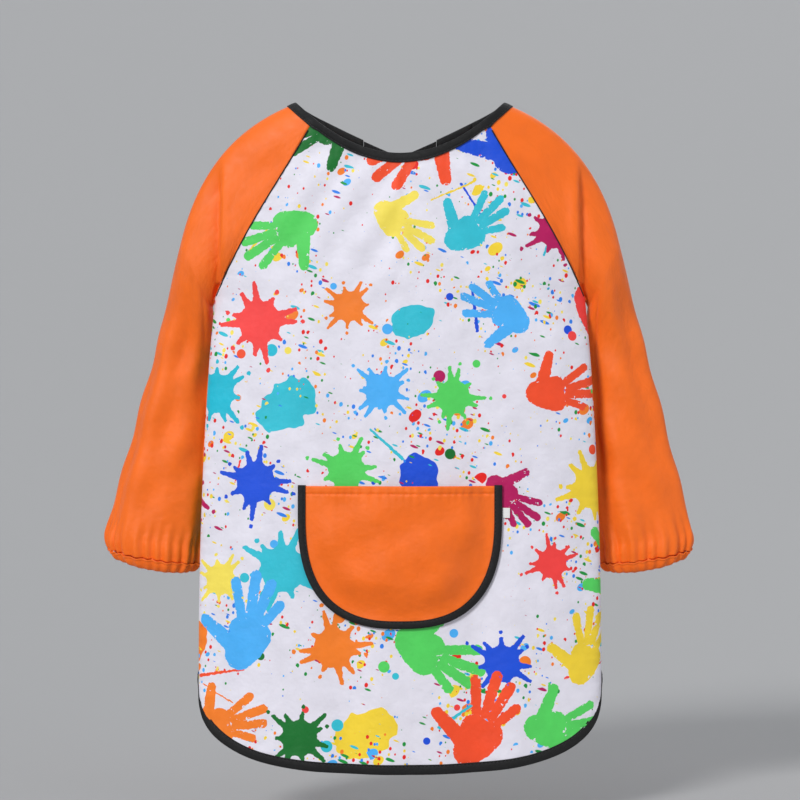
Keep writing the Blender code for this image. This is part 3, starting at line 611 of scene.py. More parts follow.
def motif(name, build, **inputs):
    """A node group that lays one motif over the colour Under, in the colour Paint.
    build gives how far outside the motif Place is, in metres."""
    tree = bpy.data.node_groups.new(name, "ShaderNodeTree")
    kinds = {"Under": "Color", "Paint": "Color", "Place": "Vector", **inputs}
    for label, kind in kinds.items():
        tree.interface.new_socket(label, in_out="INPUT", socket_type="NodeSocket" + kind)
    tree.interface.new_socket("Colour", in_out="OUTPUT", socket_type="NodeSocketColor")
    recipe = Recipe(tree)
    given = recipe.node("NodeGroupInput").outputs
    inside = recipe.math("MULTIPLY_ADD", build(recipe, given), -1 / EDGE_SOFTNESS, 0.5)
    result = recipe.node("NodeGroupOutput")
    recipe.feed(result.inputs[0], recipe.blended(recipe.clamped(inside), given["Under"], given["Paint"]))
    return tree


def local_place(recipe, given):
    """The place as a motif at Spot sees it, measured in the motif's own sizes."""
    offset = recipe.vector("SUBTRACT", given["Place"], given["Spot"])
    join = recipe.node("ShaderNodeCombineXYZ")
    recipe.feed(join.inputs[0], recipe.vector("DOT_PRODUCT", offset, given["Along"]))
    recipe.feed(join.inputs[1], recipe.vector("DOT_PRODUCT", offset, given["Up"]))
    return join.outputs[0]


def build_dot(recipe, given):
    return recipe.math("SUBTRACT", recipe.vector("DISTANCE", given["Place"], given["Spot"]), given["Radius"])


def build_oval(recipe, given):
    reach = recipe.vector("LENGTH", local_place(recipe, given))
    return recipe.math("MULTIPLY", recipe.math("SUBTRACT", reach, 1.0), given["Size"])


def build_run(recipe, place, start, line, measure, radius, taper):
    """Distance to a tapering run of paint along line from start, less its radius."""
    local = recipe.vector("SUBTRACT", place, start)
    share = recipe.clamped(recipe.vector("DOT_PRODUCT", local, measure))
    distance = recipe.vector("DISTANCE", local, recipe.vector("SCALE", line, scale=share))
    return recipe.math("MULTIPLY_ADD", share, taper, recipe.math("SUBTRACT", distance, radius))


def build_drip(recipe, given):
    wanted = ("Place", "Start", "Line", "Measure", "Radius", "Taper")
    return build_run(recipe, *(given[name] for name in wanted))


def build_hand(recipe, given):
    """A palm with its heel, four fingers and a thumb, in palm widths, worn away by Bare."""
    place = local_place(recipe, given)
    distance = None
    pads = ((0.42, -0.42, 0.62), (0.48, 0.40, 0.56), (-0.05, 0.0, 0.86), (-0.62, 0.16, 0.68))
    for across, up, radius in pads:
        pad = recipe.math("SUBTRACT", recipe.vector("DISTANCE", place, (across, up, 0.0)), radius)
        distance = pad if distance is None else recipe.math("SMOOTH_MIN", distance, pad, 0.35)
    digits = [((-27, 1.22), (-27, 2.25), 0.21, 0.23), ((-8, 1.22), (-8, 2.80), 0.23, 0.25)]
    digits += [((7, 1.22), (7, 3.00), 0.23, 0.25), ((26, 1.22), (26, 2.70), 0.22, 0.24)]
    digits += [((128, 0.57), (80, 2.20), 0.42, 0.27)]
    for start, end, start_radius, end_radius in digits:
        start, end = (
            Vector((math.cos(math.radians(lean)), math.sin(math.radians(lean)), 0.0)) * reach
            for lean, reach in (start, end)
        )
        line = end - start
        measure = line / line.length_squared
        digit = build_run(recipe, place, start, line, measure, start_radius, start_radius - end_radius)
        distance = recipe.math("MINIMUM", distance, digit)
    return recipe.math("MULTIPLY_ADD", distance, given["Size"], given["Bare"])


SPLAT_ARMS = 11


def build_splat(recipe, given):
    """A round pool with arms all round it and a loose drop beyond every other arm, in pool radii."""
    place = local_place(recipe, given)
    distance = recipe.math("SUBTRACT", recipe.vector("LENGTH", place), 1.0)
    foot, foot_radius, tip_radius, web = 0.70, 0.21, 0.10, 0.25
    for arm in range(SPLAT_ARMS):
        turn = math.tau * (arm + 0.25 * math.sin(2.1 * arm)) / SPLAT_ARMS
        reach = 1.60 + 0.35 * math.sin(4.0 * arm)
        way = Vector((math.cos(turn), math.sin(turn), 0.0))
        line = way * (reach - foot)
        measure = line / line.length_squared
        run = build_run(recipe, place, way * foot, line, measure, foot_radius, foot_radius - tip_radius)
        distance = recipe.math("SMOOTH_MIN", distance, run, web)
        if arm % 2:
            loose = recipe.vector("DISTANCE", place, way * (reach + 0.36))
            distance = recipe.math("MINIMUM", distance, recipe.math("SUBTRACT", loose, 0.11))
    return recipe.math("MULTIPLY", distance, given["Size"])


TURNED = {"Spot": "Vector", "Along": "Vector", "Up": "Vector", "Size": "Float"}
RUN = {"Start": "Vector", "Line": "Vector", "Measure": "Vector", "Radius": "Float", "Taper": "Float"}
DOT = motif("paint_dot", build_dot, Spot="Vector", Radius="Float")
OVAL = motif("paint_oval", build_oval, **TURNED)
DRIP = motif("paint_drip", build_drip, **RUN)
HAND = motif("paint_hand", build_hand, **TURNED, Bare="Float")
SPLAT = motif("paint_splat", build_splat, **TURNED)


class Print(Recipe):
    """Paints motifs over each other on the flat pattern. A spot is (across, drop) in millimetres on the
    cloth laid flat: across from the middle of the front, and down from the neck point."""

    def __init__(self, tree, band):
        super().__init__(tree)
        self.band = band
        self.colour = CLOTH_WHITE
        self.cloth_place = self.pattern_place()
        self.torn = self.wander(300.0, 2.0, 0.0030)
        self.swell = self.wander(75.0, 1.0, 0.0150)
        self.gaps = self.noise(self.cloth_place, 160.0, 3.0, 0.7)
        self.flat = self.vector("MULTIPLY", self.cloth_place, (1.0, 1.0, 0.0))
        slight = self.vector("SCALE", self.torn, scale=0.04)
        self.places = {
            "clean": self.shifted(self.flat, slight),
            "torn": self.shifted(self.flat, self.torn),
            "swollen": self.shifted(self.flat, self.swell),
        }

    def join(self, across, height):
        made = self.node("ShaderNodeCombineXYZ")
        self.feed(made.inputs[0], across)
        self.feed(made.inputs[1], height)
        return made.outputs[0]

    def wander(self, scale, detail, reach):
        """A shift that varies over the cloth, up to half of reach each way."""
        parts = []
        for start in (0.0, 0.37):
            noise = self.node("ShaderNodeTexNoise", noise_dimensions="4D")
            self.feed(noise.inputs["Vector"], self.cloth_place)
            noise.inputs["W"].default_value = start * 100
            noise.inputs["Scale"].default_value = scale
            noise.inputs["Detail"].default_value = detail
            parts.append(self.math("MULTIPLY_ADD", noise.outputs[0], reach, -reach / 2))
        return self.join(*parts)

    def shifted(self, place, shift):
        moved = self.vector("ADD", place, shift)
        return self.vector("MULTIPLY", moved, (1.0, 1.0, 0.0))

    def cover(self, inside, colour):
        self.colour = self.blended(self.clamped(inside), self.colour, colour)

    def paint(self, motif, colour, place, **values):
        """Lays one motif, which is a node group, over the colour so far."""
        made = self.node("ShaderNodeGroup", node_tree=motif)
        self.feed(made.inputs["Under"], self.colour)
        self.feed(made.inputs["Paint"], colour)
        self.feed(made.inputs["Place"], place)
        for name, value in values.items():
            self.feed(made.inputs[name], value)
        self.colour = made.outputs[0]

    def missing(self, drops, reach):
        """True if a motif at those drops, in millimetres, lies wholly outside this material's band."""
        low, high = min(drops) - reach - BAND_MARGIN, max(drops) + reach + BAND_MARGIN
        return low >= self.band[1] or high <= self.band[0]

    def spot(self, across, drop):
        return (across * MM, -drop * MM, 0.0)

    def dot(self, colour, across, drop, radius):
        if self.missing((drop,), radius):
            return
        self.paint(DOT, colour, self.places["clean"], Spot=self.spot(across, drop), Radius=radius * MM)

    def ways(self, turn, width, height):
        """The two directions of a motif turned anticlockwise, each divided by the motif's size that way."""
        way = (math.cos(math.radians(turn)), math.sin(math.radians(turn)))
        along = (way[0] / width, way[1] / width, 0.0)
        up = (-way[1] / height, way[0] / height, 0.0)
        return {"Along": along, "Up": up}

    def oval(self, colour, across, drop, width, height, turn):
        """An ellipse of those half sizes, turned anticlockwise."""
        if self.missing((drop,), max(width, height)):
            return
        sizes = self.ways(turn, width * MM, height * MM)
        place, spot = self.places["swollen"], self.spot(across, drop)
        self.paint(OVAL, colour, place, Spot=spot, Size=min(width, height) * MM, **sizes)

    def drip(self, colour, start, end, start_radius, end_radius):
        if self.missing((start[1], end[1]), max(start_radius, end_radius)):
            return
        start, end = Vector(self.spot(*start)), Vector(self.spot(*end))
        line = end - start
        values = {"Start": start, "Line": line, "Measure": line / line.length_squared}
        values.update(Radius=start_radius * MM, Taper=(start_radius - end_radius) * MM)
        self.paint(DRIP, colour, self.places["torn"], **values)

    def splat(self, colour, across, drop, size, turn):
        """A thrown splat. size is the radius of its pool."""
        if self.missing((drop,), SPLAT_REACH * size):
            return
        sizes = self.ways(turn, size * MM, size * MM)
        place, spot = self.places["torn"], self.spot(across, drop)
        self.paint(SPLAT, colour, place, Spot=spot, Size=size * MM, **sizes)

    def hand(self, colour, across, drop, size, turn):
        """A child's hand print. size is the palm's half width and turn the way that its fingers point."""
        if self.missing((drop,), HAND_REACH * size):
            return
        bare = self.spread(self.gaps, 0.60, 0.70, 0.0, 0.006 * HAND_WEAR)
        sizes = self.ways(turn, size * MM, size * MM)
        place, spot = self.places["torn"], self.spot(across, drop)
        self.paint(HAND, colour, place, Spot=spot, Size=size * MM, Bare=bare, **sizes)

    def confetti(self, colours, cell, size, turn, stretch, where, share, seed):
        """Flecks and streaks of paint. cell is their spacing in millimetres, and share how many there are."""
        local = self.node("ShaderNodeMapping", vector_type="TEXTURE")
        self.feed(local.inputs["Vector"], self.cloth_place)
        local.inputs["Rotation"].default_value = (0.0, 0.0, math.radians(turn))
        local.inputs["Scale"].default_value = (cell * stretch * MM, cell * MM, 1.0)
        local.inputs["Location"].default_value = (seed, seed * 0.7, 0.0)
        cells = self.node("ShaderNodeTexVoronoi", voronoi_dimensions="2D", feature="F1")
        self.feed(cells.inputs["Vector"], local.outputs[0])
        cells.inputs["Scale"].default_value = 1.0
        chance = self.node("ShaderNodeSeparateColor")
        self.feed(chance.inputs[0], cells.outputs["Color"])
        palette = self.node("ShaderNodeValToRGB")
        palette.color_ramp.interpolation = "CONSTANT"
        while len(palette.color_ramp.elements) < len(colours):
            palette.color_ramp.elements.new(0.5)
        for step, colour in enumerate(colours):
            palette.color_ramp.elements[step].position = step / len(colours)
            palette.color_ramp.elements[step].color = colour
        self.feed(palette.inputs[0], chance.outputs[1])
        wanted = self.math("MULTIPLY", where, share)
        room = self.math("SUBTRACT", wanted, chance.outputs[0])
        room = self.clamped(self.math("MULTIPLY", room, 4.0))
        bold = self.math("MULTIPLY_ADD", chance.outputs[2], 0.7, 0.3)
        reach = self.math("MULTIPLY", self.math("MULTIPLY", room, bold), size)
        inside = self.math("SUBTRACT", reach, cells.outputs["Distance"])
        self.cover(self.math("MULTIPLY", inside, cell * MM / EDGE_SOFTNESS), palette.outputs[0])


PAINTS = (TEAL, CORAL, LEMON, ROYAL, LEAF, TANGERINE, MAGENTA, SKY, FOREST, VERMILION, AQUA, YELLOW)
PRINT_SEED = 23
CELL = 76                     # one large motif to each cell of a staggered grid, in millimetres
CELL_COLUMNS = 6
CELL_ROWS = 8
STRAY = 12                    # how far a motif strays from the middle of its cell
KINDS = ("hand", "splat", "pool", "hand", "splat")
HAND_SIZE, SPLAT_SIZE, POOL_SIZE = 17, 17, 25
HAND_REACH, SPLAT_REACH, HAND_WEAR = 3.3, 2.5, 0.7
DROPS = 66
STROKES = 22


def large_motifs():
    """The hands, splats and pools, drawn by chance from a fixed seed. Nothing is placed after the photo."""
    chance = random.Random(PRINT_SEED)
    paint = 0
    for row in range(CELL_ROWS):
        for column in range(CELL_COLUMNS):
            across = (column + 0.5 * (row % 2) + 0.25 - CELL_COLUMNS / 2) * CELL
            drop = (row + 0.5) * CELL
            across += chance.uniform(-STRAY, STRAY)
            drop += chance.uniform(-STRAY, STRAY)
            paint = (paint + chance.randint(1, len(PAINTS) - 1)) % len(PAINTS)
            kind = KINDS[(column + 2 * row + chance.randint(0, 1)) % len(KINDS)]
            yield kind, PAINTS[paint], across, drop, chance.uniform(0.75, 1.25), chance.uniform(0, 360)


def paint_pools(art):
    """Broad pools of colour, the lowest layer of the print."""
    for kind, colour, across, drop, share, turn in large_motifs():
        if kind == "pool":
            art.oval(colour, across, drop, POOL_SIZE * share, POOL_SIZE * share * 0.7, turn)


def paint_splats_and_hands(art):
    for kind, colour, across, drop, share, turn in large_motifs():
        if kind == "splat":
            art.splat(colour, across, drop, SPLAT_SIZE * share, turn)
        elif kind == "hand":
            art.hand(colour, across, drop, HAND_SIZE * share, turn)


def paint_drops_and_strokes(art):
    """Round drops and short thin throws of paint, scattered over the whole cloth."""
    chance = random.Random(PRINT_SEED + 1)
    half_width, length = CELL * CELL_COLUMNS / 2, CELL * CELL_ROWS
    for _ in range(DROPS):
        spot = (chance.uniform(-half_width, half_width), chance.uniform(0, length))
        art.dot(chance.choice(PAINTS), *spot, chance.uniform(1.8, 6.0))
    for _ in range(STROKES):
        start = (chance.uniform(-half_width, half_width), chance.uniform(0, length))
        way, reach, radius = chance.uniform(0, math.tau), chance.uniform(14, 46), chance.uniform(0.7, 1.6)
        end = (start[0] + reach * math.cos(way), start[1] + reach * math.sin(way))
        art.drip(chance.choice(PAINTS), start, end, radius, radius * 0.7)


def paint_confetti(art):
    """Flecks of paint, in thick and thin patches all over the cloth."""
    where = art.spread(art.noise(art.cloth_place, 14.0, 1.0), 0.40, 0.62, 0.16, 0.80)
    every = (RED, YELLOW, BLUE, GREEN, TANGERINE, LEMON, SKY, RED)
    art.confetti((TANGERINE, SKY, RED, YELLOW), 13.0, 0.44, 35, 1.4, where, 0.55, 5.3)
    art.confetti((AQUA, GREEN, YELLOW, BLUE, MAGENTA), 5.6, 0.34, -20, 3.2, where, 0.75, 3.7)
    art.confetti(every, 4.4, 0.44, 80, 1.3, where, 0.80, 7.1)


def printed_cloth(band):
    """White cloth with hand prints, splats and throws of paint, for one band of the cloth's height."""
    material, tree, surface = new_material(f"printed_cloth_{band[0]}")
    art = Print(tree, band)
    layers = (paint_pools, paint_confetti, paint_drops_and_strokes, paint_splats_and_hands)
    for paint_layer in layers:
        paint_layer(art)
    dress_cloth(art, surface, art.colour)
    return material


# ---- Grids of the cloth --------------------------------------------------------------------------
FRONT_COLUMNS = 156
FRONT_ROWS = 180
BACK_COLUMNS = 60
FLAP_COLUMNS = 36
BACK_ROWS = 130
NECK_STEPS = 18
RAGLAN_STEPS = 90
UPPER_ROWS = 44
LOWER_ROWS = 70
GATHER_ROWS = 16


def front_grid():
    """The front panel from hem to neckline, and each point's place on the flat pattern."""
    limit = math.pi / 2 - 0.002
    share = np.sin(np.linspace(-limit, limit, FRONT_COLUMNS + 1))
    bottom = hem_z(share * HEM_HALF_WIDTH)
    top = front_neckline_z(share * FRONT_RAGLAN_X)
    for _ in range(8):
        top = front_neckline_z(share * front_edge_x(top))
    climb = np.linspace(0.0, 1.0, FRONT_ROWS + 1)[:, None]
    z = mix(bottom[None, :], top[None, :], climb)
    x = share[None, :] * front_edge_x(z)
    points = on_front(x, z)
    smooth_cloth = stacked(x, front_base_y(x, z), z)
    steps = np.linalg.norm(np.diff(smooth_cloth, axis=1)[..., :2], axis=-1)
    across = np.concatenate([np.zeros((len(z), 1)), np.cumsum(steps, axis=1)], axis=1)
    across -= across[:, FRONT_COLUMNS // 2][:, None]
    return points, stacked(across, z)


def back_corner_z(share):
    return SIDE_HEM_Z + (FLAP_END[1] - SIDE_HEM_Z) * (0.42 * share + 0.58 * share**5)


def flap_top_z(x):
    """Under the closure straps the cloth ends a little way up behind them."""
    tuck = STRAP_WIDTH - 0.003
    return back_neckline_z(x) - tuck * smooth(STRAP_HALF_LENGTH + 0.0020, STRAP_HALF_LENGTH, x)


def back_grid(side):
    """One back panel with its flap, from the side fold to the open back edge."""
    seam_share = 0.93
    turns = np.linspace(0.004, math.pi / 2, BACK_COLUMNS + 1)
    share = 1 - np.cos(turns)
    on_seam = np.clip(share / seam_share, 0.0, 1.0)
    past = np.clip((share - seam_share) / (1 - seam_share), 0.0, 1.0)
    top_x = mix(BACK_RAGLAN_X, FLAP_NECK_X, past)
    top_z = np.where(past > 0, back_neckline_z(top_x), mix(UNDERARM_Z, BACK_RAGLAN_TOP[1], on_seam))
    low_z = back_corner_z(turns / (math.pi / 2))
    climb = np.linspace(0.0, 1.0, BACK_ROWS + 1)[:, None]
    z = mix(low_z[None, :], top_z[None, :], climb)
    edge_x = np.where(z <= UNDERARM_Z, side_half_width(z), raglan_x(z, BACK_RAGLAN_TOP))
    x = mix(edge_x, fold_line_x(z), share[None, :])
    x[-1] = np.where(past > 0, top_x, raglan_x(top_z, BACK_RAGLAN_TOP))
    flap_share = np.linspace(0.0, 1.0, FLAP_COLUMNS + 1)[1:]
    flap_top_x = mix(FLAP_NECK_X, 0.0012, flap_share)
    flap_z = mix(FLAP_END[1], flap_top_z(flap_top_x)[None, :], climb)
    flap_x = mix(fold_line_x(flap_z), back_edge_x(flap_z) + 0.0002, flap_share[None, :])
    x = np.concatenate([x, flap_x], axis=1)
    z = np.concatenate([z, flap_z], axis=1)
    points = mirrored(on_back(x, z), side)
    flat = stacked(-side * (x * 1.12 + 0.012), z - 0.034)
    return points, flat


def ring(outer, inner, half_depth, set_back, turns, dip=0.0):
    """Oval rings round the sleeve, one for each outer and inner point (x, z) given."""
    outer, inner = np.atleast_2d(outer), np.atleast_2d(inner)
    middle, half = (outer + inner) / 2, (outer - inner) / 2
    round_x, round_y = np.cos(turns), np.sin(turns)
    half_depth, set_back = np.broadcast_to(half_depth, len(outer)), np.broadcast_to(set_back, len(outer))
    x = middle[:, :1] + half[:, :1] * round_x
    z = middle[:, 1:] + half[:, 1:] * round_x - np.broadcast_to(dip, len(outer))[:, None] * round_y
    y = set_back[:, None] - half_depth[:, None] * round_y
    return stacked(x, y, z)


def sleeve_turns():
    count = NECK_STEPS + RAGLAN_STEPS
    return math.pi * np.arange(2 * count) / count


def seam_loop():
    """The right sleeve's top edge: over the shoulder at the neck, down one raglan seam and up the other."""
    def half(corner, surface, neckline):
        x = mix(NECK_HALF_WIDTH, corner[0], 1 - np.cos(np.arange(NECK_STEPS) / NECK_STEPS * math.pi / 2))
        z = mix(corner[1], UNDERARM_Z, np.arange(RAGLAN_STEPS + 1) / RAGLAN_STEPS)
        return np.concatenate([surface(x, neckline(x)), surface(raglan_x(z, corner), z)])

    front = half(FRONT_RAGLAN_TOP, on_front, front_neckline_z)
    back = half(BACK_RAGLAN_TOP, on_back, back_neckline_z)
    return np.concatenate([front, back[-2:0:-1]])


def upper_rings(shares, turns):
    start = seam_loop()
    finish = ring(SLEEVE_TOP_OUTER, SLEEVE_TOP_INNER, SLEEVE_TOP_HALF_DEPTH, SLEEVE_TOP_SET_BACK, turns)[0]
    on_shoulder = np.maximum(0.0, np.cos(turns)) ** 2
    chord_x = (NECK_HALF_WIDTH + SLEEVE_TOP_OUTER[0]) / 2
    chord_z = (SLEEVE_TOP_OUTER[1] - NECK_POINT_DROP) / 2
    corner = (start + finish) / 2
    corner[:, 0] += (SHOULDER_CORNER[0] - chord_x) * on_shoulder
    corner[:, 2] += (SHOULDER_CORNER[1] - chord_z) * on_shoulder
    corner[:, 1] *= 1 + SHOULDER_FULLNESS * np.sin(turns) ** 2
    return bend(start[None], corner[None], finish[None], shares[:, None, None])


def lower_rings(shares, turns):
    shares = shares[:, None]
    outer = mix(np.array([SLEEVE_TOP_OUTER]), np.array([SLEEVE_END_OUTER]), shares)
    inner = bend(*(np.array([p]) for p in (SLEEVE_TOP_INNER, SLEEVE_MID_INNER, SLEEVE_END_INNER)), shares)
    settle = smooth(0.0, 0.28, shares[:, 0])
    half_depth = mix(SLEEVE_TOP_HALF_DEPTH, SLEEVE_HALF_DEPTH, settle)
    return ring(outer, inner, half_depth, mix(SLEEVE_TOP_SET_BACK, SLEEVE_SET_BACK, settle), turns)


CUFF_FULL_OUTER = (0.2675, -0.4045)   # these pull the sleeve's end out before it gathers in
CUFF_FULL_INNER = (0.1770, -0.4180)
CUFF_DIP = 0.0075                     # the front of the cuff hangs lower than its ends


def cuff_rings(shares, turns):
    """From the full sleeve's end (share 0) to the cuff's fold (share 1)."""
    shares = shares[:, None]
    outer = bend(*(np.array([p]) for p in (SLEEVE_END_OUTER, CUFF_FULL_OUTER, CUFF_OUTER)), shares)
    inner = bend(*(np.array([p]) for p in (SLEEVE_END_INNER, CUFF_FULL_INNER, CUFF_INNER)), shares)
    shares = shares[:, 0]
    half_depth = bend(SLEEVE_HALF_DEPTH, 0.0275, CUFF_HALF_DEPTH, shares)
    return ring(outer, inner, half_depth, SLEEVE_SET_BACK, turns, dip=CUFF_DIP * shares)


def gather_relief(turns, fall):
    """Pleats of the gathered cuff. fall runs from 0 where they begin to 1 at the cuff."""
    waver = 0.9 * np.sin(3 * turns + 0.5) + 0.5 * np.sin(7 * turns + 1.9)
    fine = np.cos(CUFF_PLEATS * turns + waver)
    broad = np.cos(11 * turns + 1.7 * np.sin(2 * turns + 0.8))
    return smooth(0.0, 1.0, fall) ** 1.3 * 0.0013 * fine + smooth(0.0, 0.7, fall) * 0.0011 * broad


def sleeve_folds(points, normals, turns, down, side):
    """Heights of the sleeve's folds. down is the length from the seam, one value a row."""
    x, z = points[..., 0], points[..., 2]
    front = np.clip(-normals[..., 1], 0.0, 1.0)
    leave_seam = smooth(0.0, 0.035, down)[:, None]
    crease_x = 0.1590 + 0.10 * np.maximum(0.0, -z - 0.17)
    across = x - crease_x
    tall = smooth(-0.050, -0.085, z) * smooth(-0.40, -0.20, z)
    tuck = np.exp(-np.maximum(0.0, across) / 0.016) * smooth(0.0005, 0.0045, across)
    crease = -0.0105 * tuck * tall * front
    lip = 0.0022 * np.exp(-(((across + 0.003) / 0.006) ** 2)) * tall * front
    slant = x * 0.45 + z
    drags = 0.0017 * np.sin(2 * math.pi * slant / 0.047 + 0.8 + side)
    drags = drags * smooth(0.155, 0.105, x) * smooth(-0.15, -0.06, z) * front
    lengthwise = 0.0017 * np.sin(5 * turns + 6.0 * z + side)
    lengthwise = lengthwise + 0.0010 * np.sin(8 * turns - 9.0 * z + 2.0 * side)
    lengthwise = lengthwise * smooth(-0.14, -0.24, z)
    elbow = 0.0010 * np.sin(2 * math.pi * (z + 0.45 * x) / 0.060 + 1.2 * np.sin(2 * turns))
    elbow = elbow * smooth(-0.16, -0.24, z) * smooth(-0.42, -0.32, z)
    seam_room = smooth(0.0, 0.02, down)[:, None]
    inner_side = smooth(-0.6, -0.95, np.cos(turns))
    calm = 1 - 0.75 * inner_side
    return leave_seam * (crease + lip + drags) + seam_room * calm * (lengthwise + elbow)


def sleeve_grid(side):
    """The whole sleeve from the neck and raglan seams to inside the cuff casing."""
    turns = sleeve_turns()
    upper = upper_rings(np.linspace(0.0, 1.0, UPPER_ROWS + 1), turns)
    lower = lower_rings(np.linspace(0.0, 1.0, LOWER_ROWS + 1)[1:], turns)
    cuff_shares = np.linspace(0.0, 0.56, GATHER_ROWS + 1)[1:]
    points = np.concatenate([upper, lower, cuff_rings(cuff_shares, turns)])
    steps = np.linalg.norm(np.diff(points, axis=0), axis=-1).mean(axis=1)
    down = np.concatenate([[0.0], np.cumsum(steps)])
    normals = grid_normals(points, around=True)
    middle = points.mean(axis=1, keepdims=True)
    normals *= np.where(((points - middle) * normals).sum(-1, keepdims=True) < 0, -1.0, 1.0)
    gather_start = down[UPPER_ROWS + LOWER_ROWS] - 0.028
    fall = np.clip((down - gather_start) / (down[-1] - gather_start), 0.0, 1.0)[:, None]
    relief = sleeve_folds(points, normals, turns, down, side) * (1 - 0.8 * smooth(0.4, 1.0, fall))
    relief = relief + gather_relief(turns, fall)
    points = mirrored(points + normals * relief[..., None], side)
    girth = np.linalg.norm(points - np.roll(points, 1, axis=1), axis=-1).sum(axis=1).mean()
    across = np.append(turns, 2 * math.pi) / (2 * math.pi) * girth
    return points, stacked(across[None, :], -down[:, None])


# ---- Tapes and stitches --------------------------------------------------------------------------
def channel(width, slot, crown=0.10):
    """Cross-section of a tape folded over an edge, rounded at the fold and dented along its stitches."""
    fold = BINDING_FOLD
    inner = slot / 2 + FIT_GAP
    outer = inner + TAPE
    rim = width - fold
    flank = [(rim, 0.90), (rim * 0.97, 1.0), (rim * 0.86, 0.98), (rim * 0.80, 0.86), (rim * 0.74, 0.98)]
    flank += [(rim * 0.45, 1.0 + crown), (rim * 0.15, 1.0 + crown * 0.6)]
    bow = [(-fold * math.cos(turn), math.sin(turn)) for turn in np.linspace(-1.25, 1.25, 9)]
    low = [(a, -outer * b) for a, b in flank]
    high = [(a, outer * b) for a, b in reversed(flank)]
    back = [(rim, inner), (TAPE - fold, inner), (TAPE - fold, -inner), (rim, -inner)]
    return low + [(a, b * outer) for a, b in bow] + high + back


THREAD_RADIUS = 0.00022


def stitch_row(name, line, outward, material, pitch=0.0034, length=0.0024):
    """A row of short thread stitches along a line, each standing half out of the cloth."""
    run = run_along(line)
    count = max(1, int(run[-1] / pitch))
    places = (np.arange(count) + 0.5) * run[-1] / count
    at = read_at(places, run, line)
    up = read_at(places, run, outward)
    along = unit(read_at(places + 0.0006, run, line) - read_at(places - 0.0006, run, line))
    across = unit(np.cross(along, up))
    up = np.cross(across, along)
    sides = 6
    turn = np.arange(sides) / sides * 2 * math.pi
    ring_at = np.array([-0.5, -0.36, 0.0, 0.36, 0.5]) * length
    ring_size = np.array([0.25, 0.9, 1.05, 0.9, 0.25]) * THREAD_RADIUS
    sink = np.array([-1.2, -0.1, 0.35, -0.1, -1.2]) * THREAD_RADIUS
    points = (
        at[:, None, None]
        + along[:, None, None] * ring_at[None, :, None, None]
        + across[:, None, None] * (ring_size[:, None] * np.cos(turn))[None, ..., None]
        + up[:, None, None] * (ring_size[:, None] * np.sin(turn) + sink[:, None])[None, ..., None]
    )
    faces = []
    rings = len(ring_at)
    for stitch in range(count):
        first = stitch * rings * sides
        for level in range(rings - 1):
            for step in range(sides):
                other = (step + 1) % sides
                low, high = first + level * sides, first + (level + 1) * sides
                faces.append((low + step, low + other, high + other, high + step))
        faces.append(tuple(first + step for step in reversed(range(sides))))
        faces.append(tuple(first + (rings - 1) * sides + step for step in range(sides)))
    mesh = bpy.data.meshes.new(name)
    mesh.from_pydata(points.reshape(-1, 3).tolist(), [], faces)
    mesh.shade_smooth()
    mesh.materials.append(material)
    return link(bpy.data.objects.new(name, mesh))


def outward_of(edge, rim, facing):
    """Directions square to a tape, turned so that the one numbered facing[0] looks along facing[1]."""
    along = unit(np.gradient(edge, axis=0))
    outward = unit(np.cross(unit(rim - edge), along))
    index, direction = facing
    sign = 1.0 if outward[index] @ np.array(direction) > 0 else -1.0
    return outward * sign


# ---- Materials -----------------------------------------------------------------------------------
BLACK = (0.0035, 0.0035, 0.0040, 1.0)
print_looks = [printed_cloth(band) for band in BANDS]
orange_look = plain_cloth("Orange cloth", from_srgb(252, 112, 18), crinkle=0.0004)
tape_look = ribbed_tape("Black binding tape", BLACK)
piping_look = ribbed_tape("Black piping", (0.012, 0.008, 0.008, 1.0), pitch=0.0006)
strap_look = ribbed_tape("Black strap webbing", BLACK, pitch=0.0012, depth=0.0002, roughness=0.7)
elastic_look = ribbed_tape("White elastic", from_srgb(205, 203, 198), pitch=0.0013, depth=0.00025)
label_look = plain_cloth("White label satin", from_srgb(238, 238, 236), crinkle=0.0001)
black_thread = thread_material("Black thread", (0.018, 0.018, 0.020, 1.0))
orange_thread = thread_material("Orange thread", from_srgb(240, 120, 45))


def fastener_look(name, colour, cell, depth):
    """Hooks or loops of a touch fastener: small raised cells on a dark ground, with painted highlights that
    lighten the cells' crowns.
    """
    material, tree, surface = new_material(name)
    recipe = Recipe(tree)
    place = recipe.node("ShaderNodeTexCoord").outputs["Object"]
    cells = recipe.node("ShaderNodeTexVoronoi", feature="F1")
    cells.inputs["Scale"].default_value = 1.0 / cell
    recipe.feed(cells.inputs["Vector"], place)
    height = recipe.spread(cells.outputs["Distance"], 0.0, 0.7, 1.0, 0.0)
    recipe.feed(surface.inputs["Normal"], recipe.bump(height, depth))
    # painted highlight: the colour lightens with the raised cells' height
    highlight_colour = tuple(c * 3.0 for c in colour[:3]) + (1.0,)
    recipe.feed(surface.inputs["Base Color"], recipe.blended(height, colour, highlight_colour))
    surface.inputs["Roughness"].default_value = 0.8
    return material


hook_look = fastener_look("Hook tape", (0.010, 0.010, 0.011, 1.0), 0.0011, 0.0004)
loop_look = fastener_look("Loop tape", (0.014, 0.014, 0.015, 1.0), 0.0006, 0.0005)


def dress_in_print(piece):
    """Gives each face the print material of the band that it hangs in."""
    for look in print_looks:
        piece.data.materials.append(look)
    limits = [-band[1] * MM for band in BANDS[:-1]]
    for face in piece.data.polygons:
        height = piece.data.uv_layers[PATTERN_UV].data[face.loop_start].uv[1]
        face.material_index = sum(height < limit for limit in limits)


# ---- Pieces that go with the smock's body; flap and sleeve pieces only have their transforms baked ---
FLAP_BEND_WIDTH = 0.030       # a width beside the flap's fold line
SLEEVE_BEND = ((0.192, 0.0, -0.144), (0.240, 0.0, -0.180))


def with_smock(piece):
    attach(piece, "smock")
    return piece


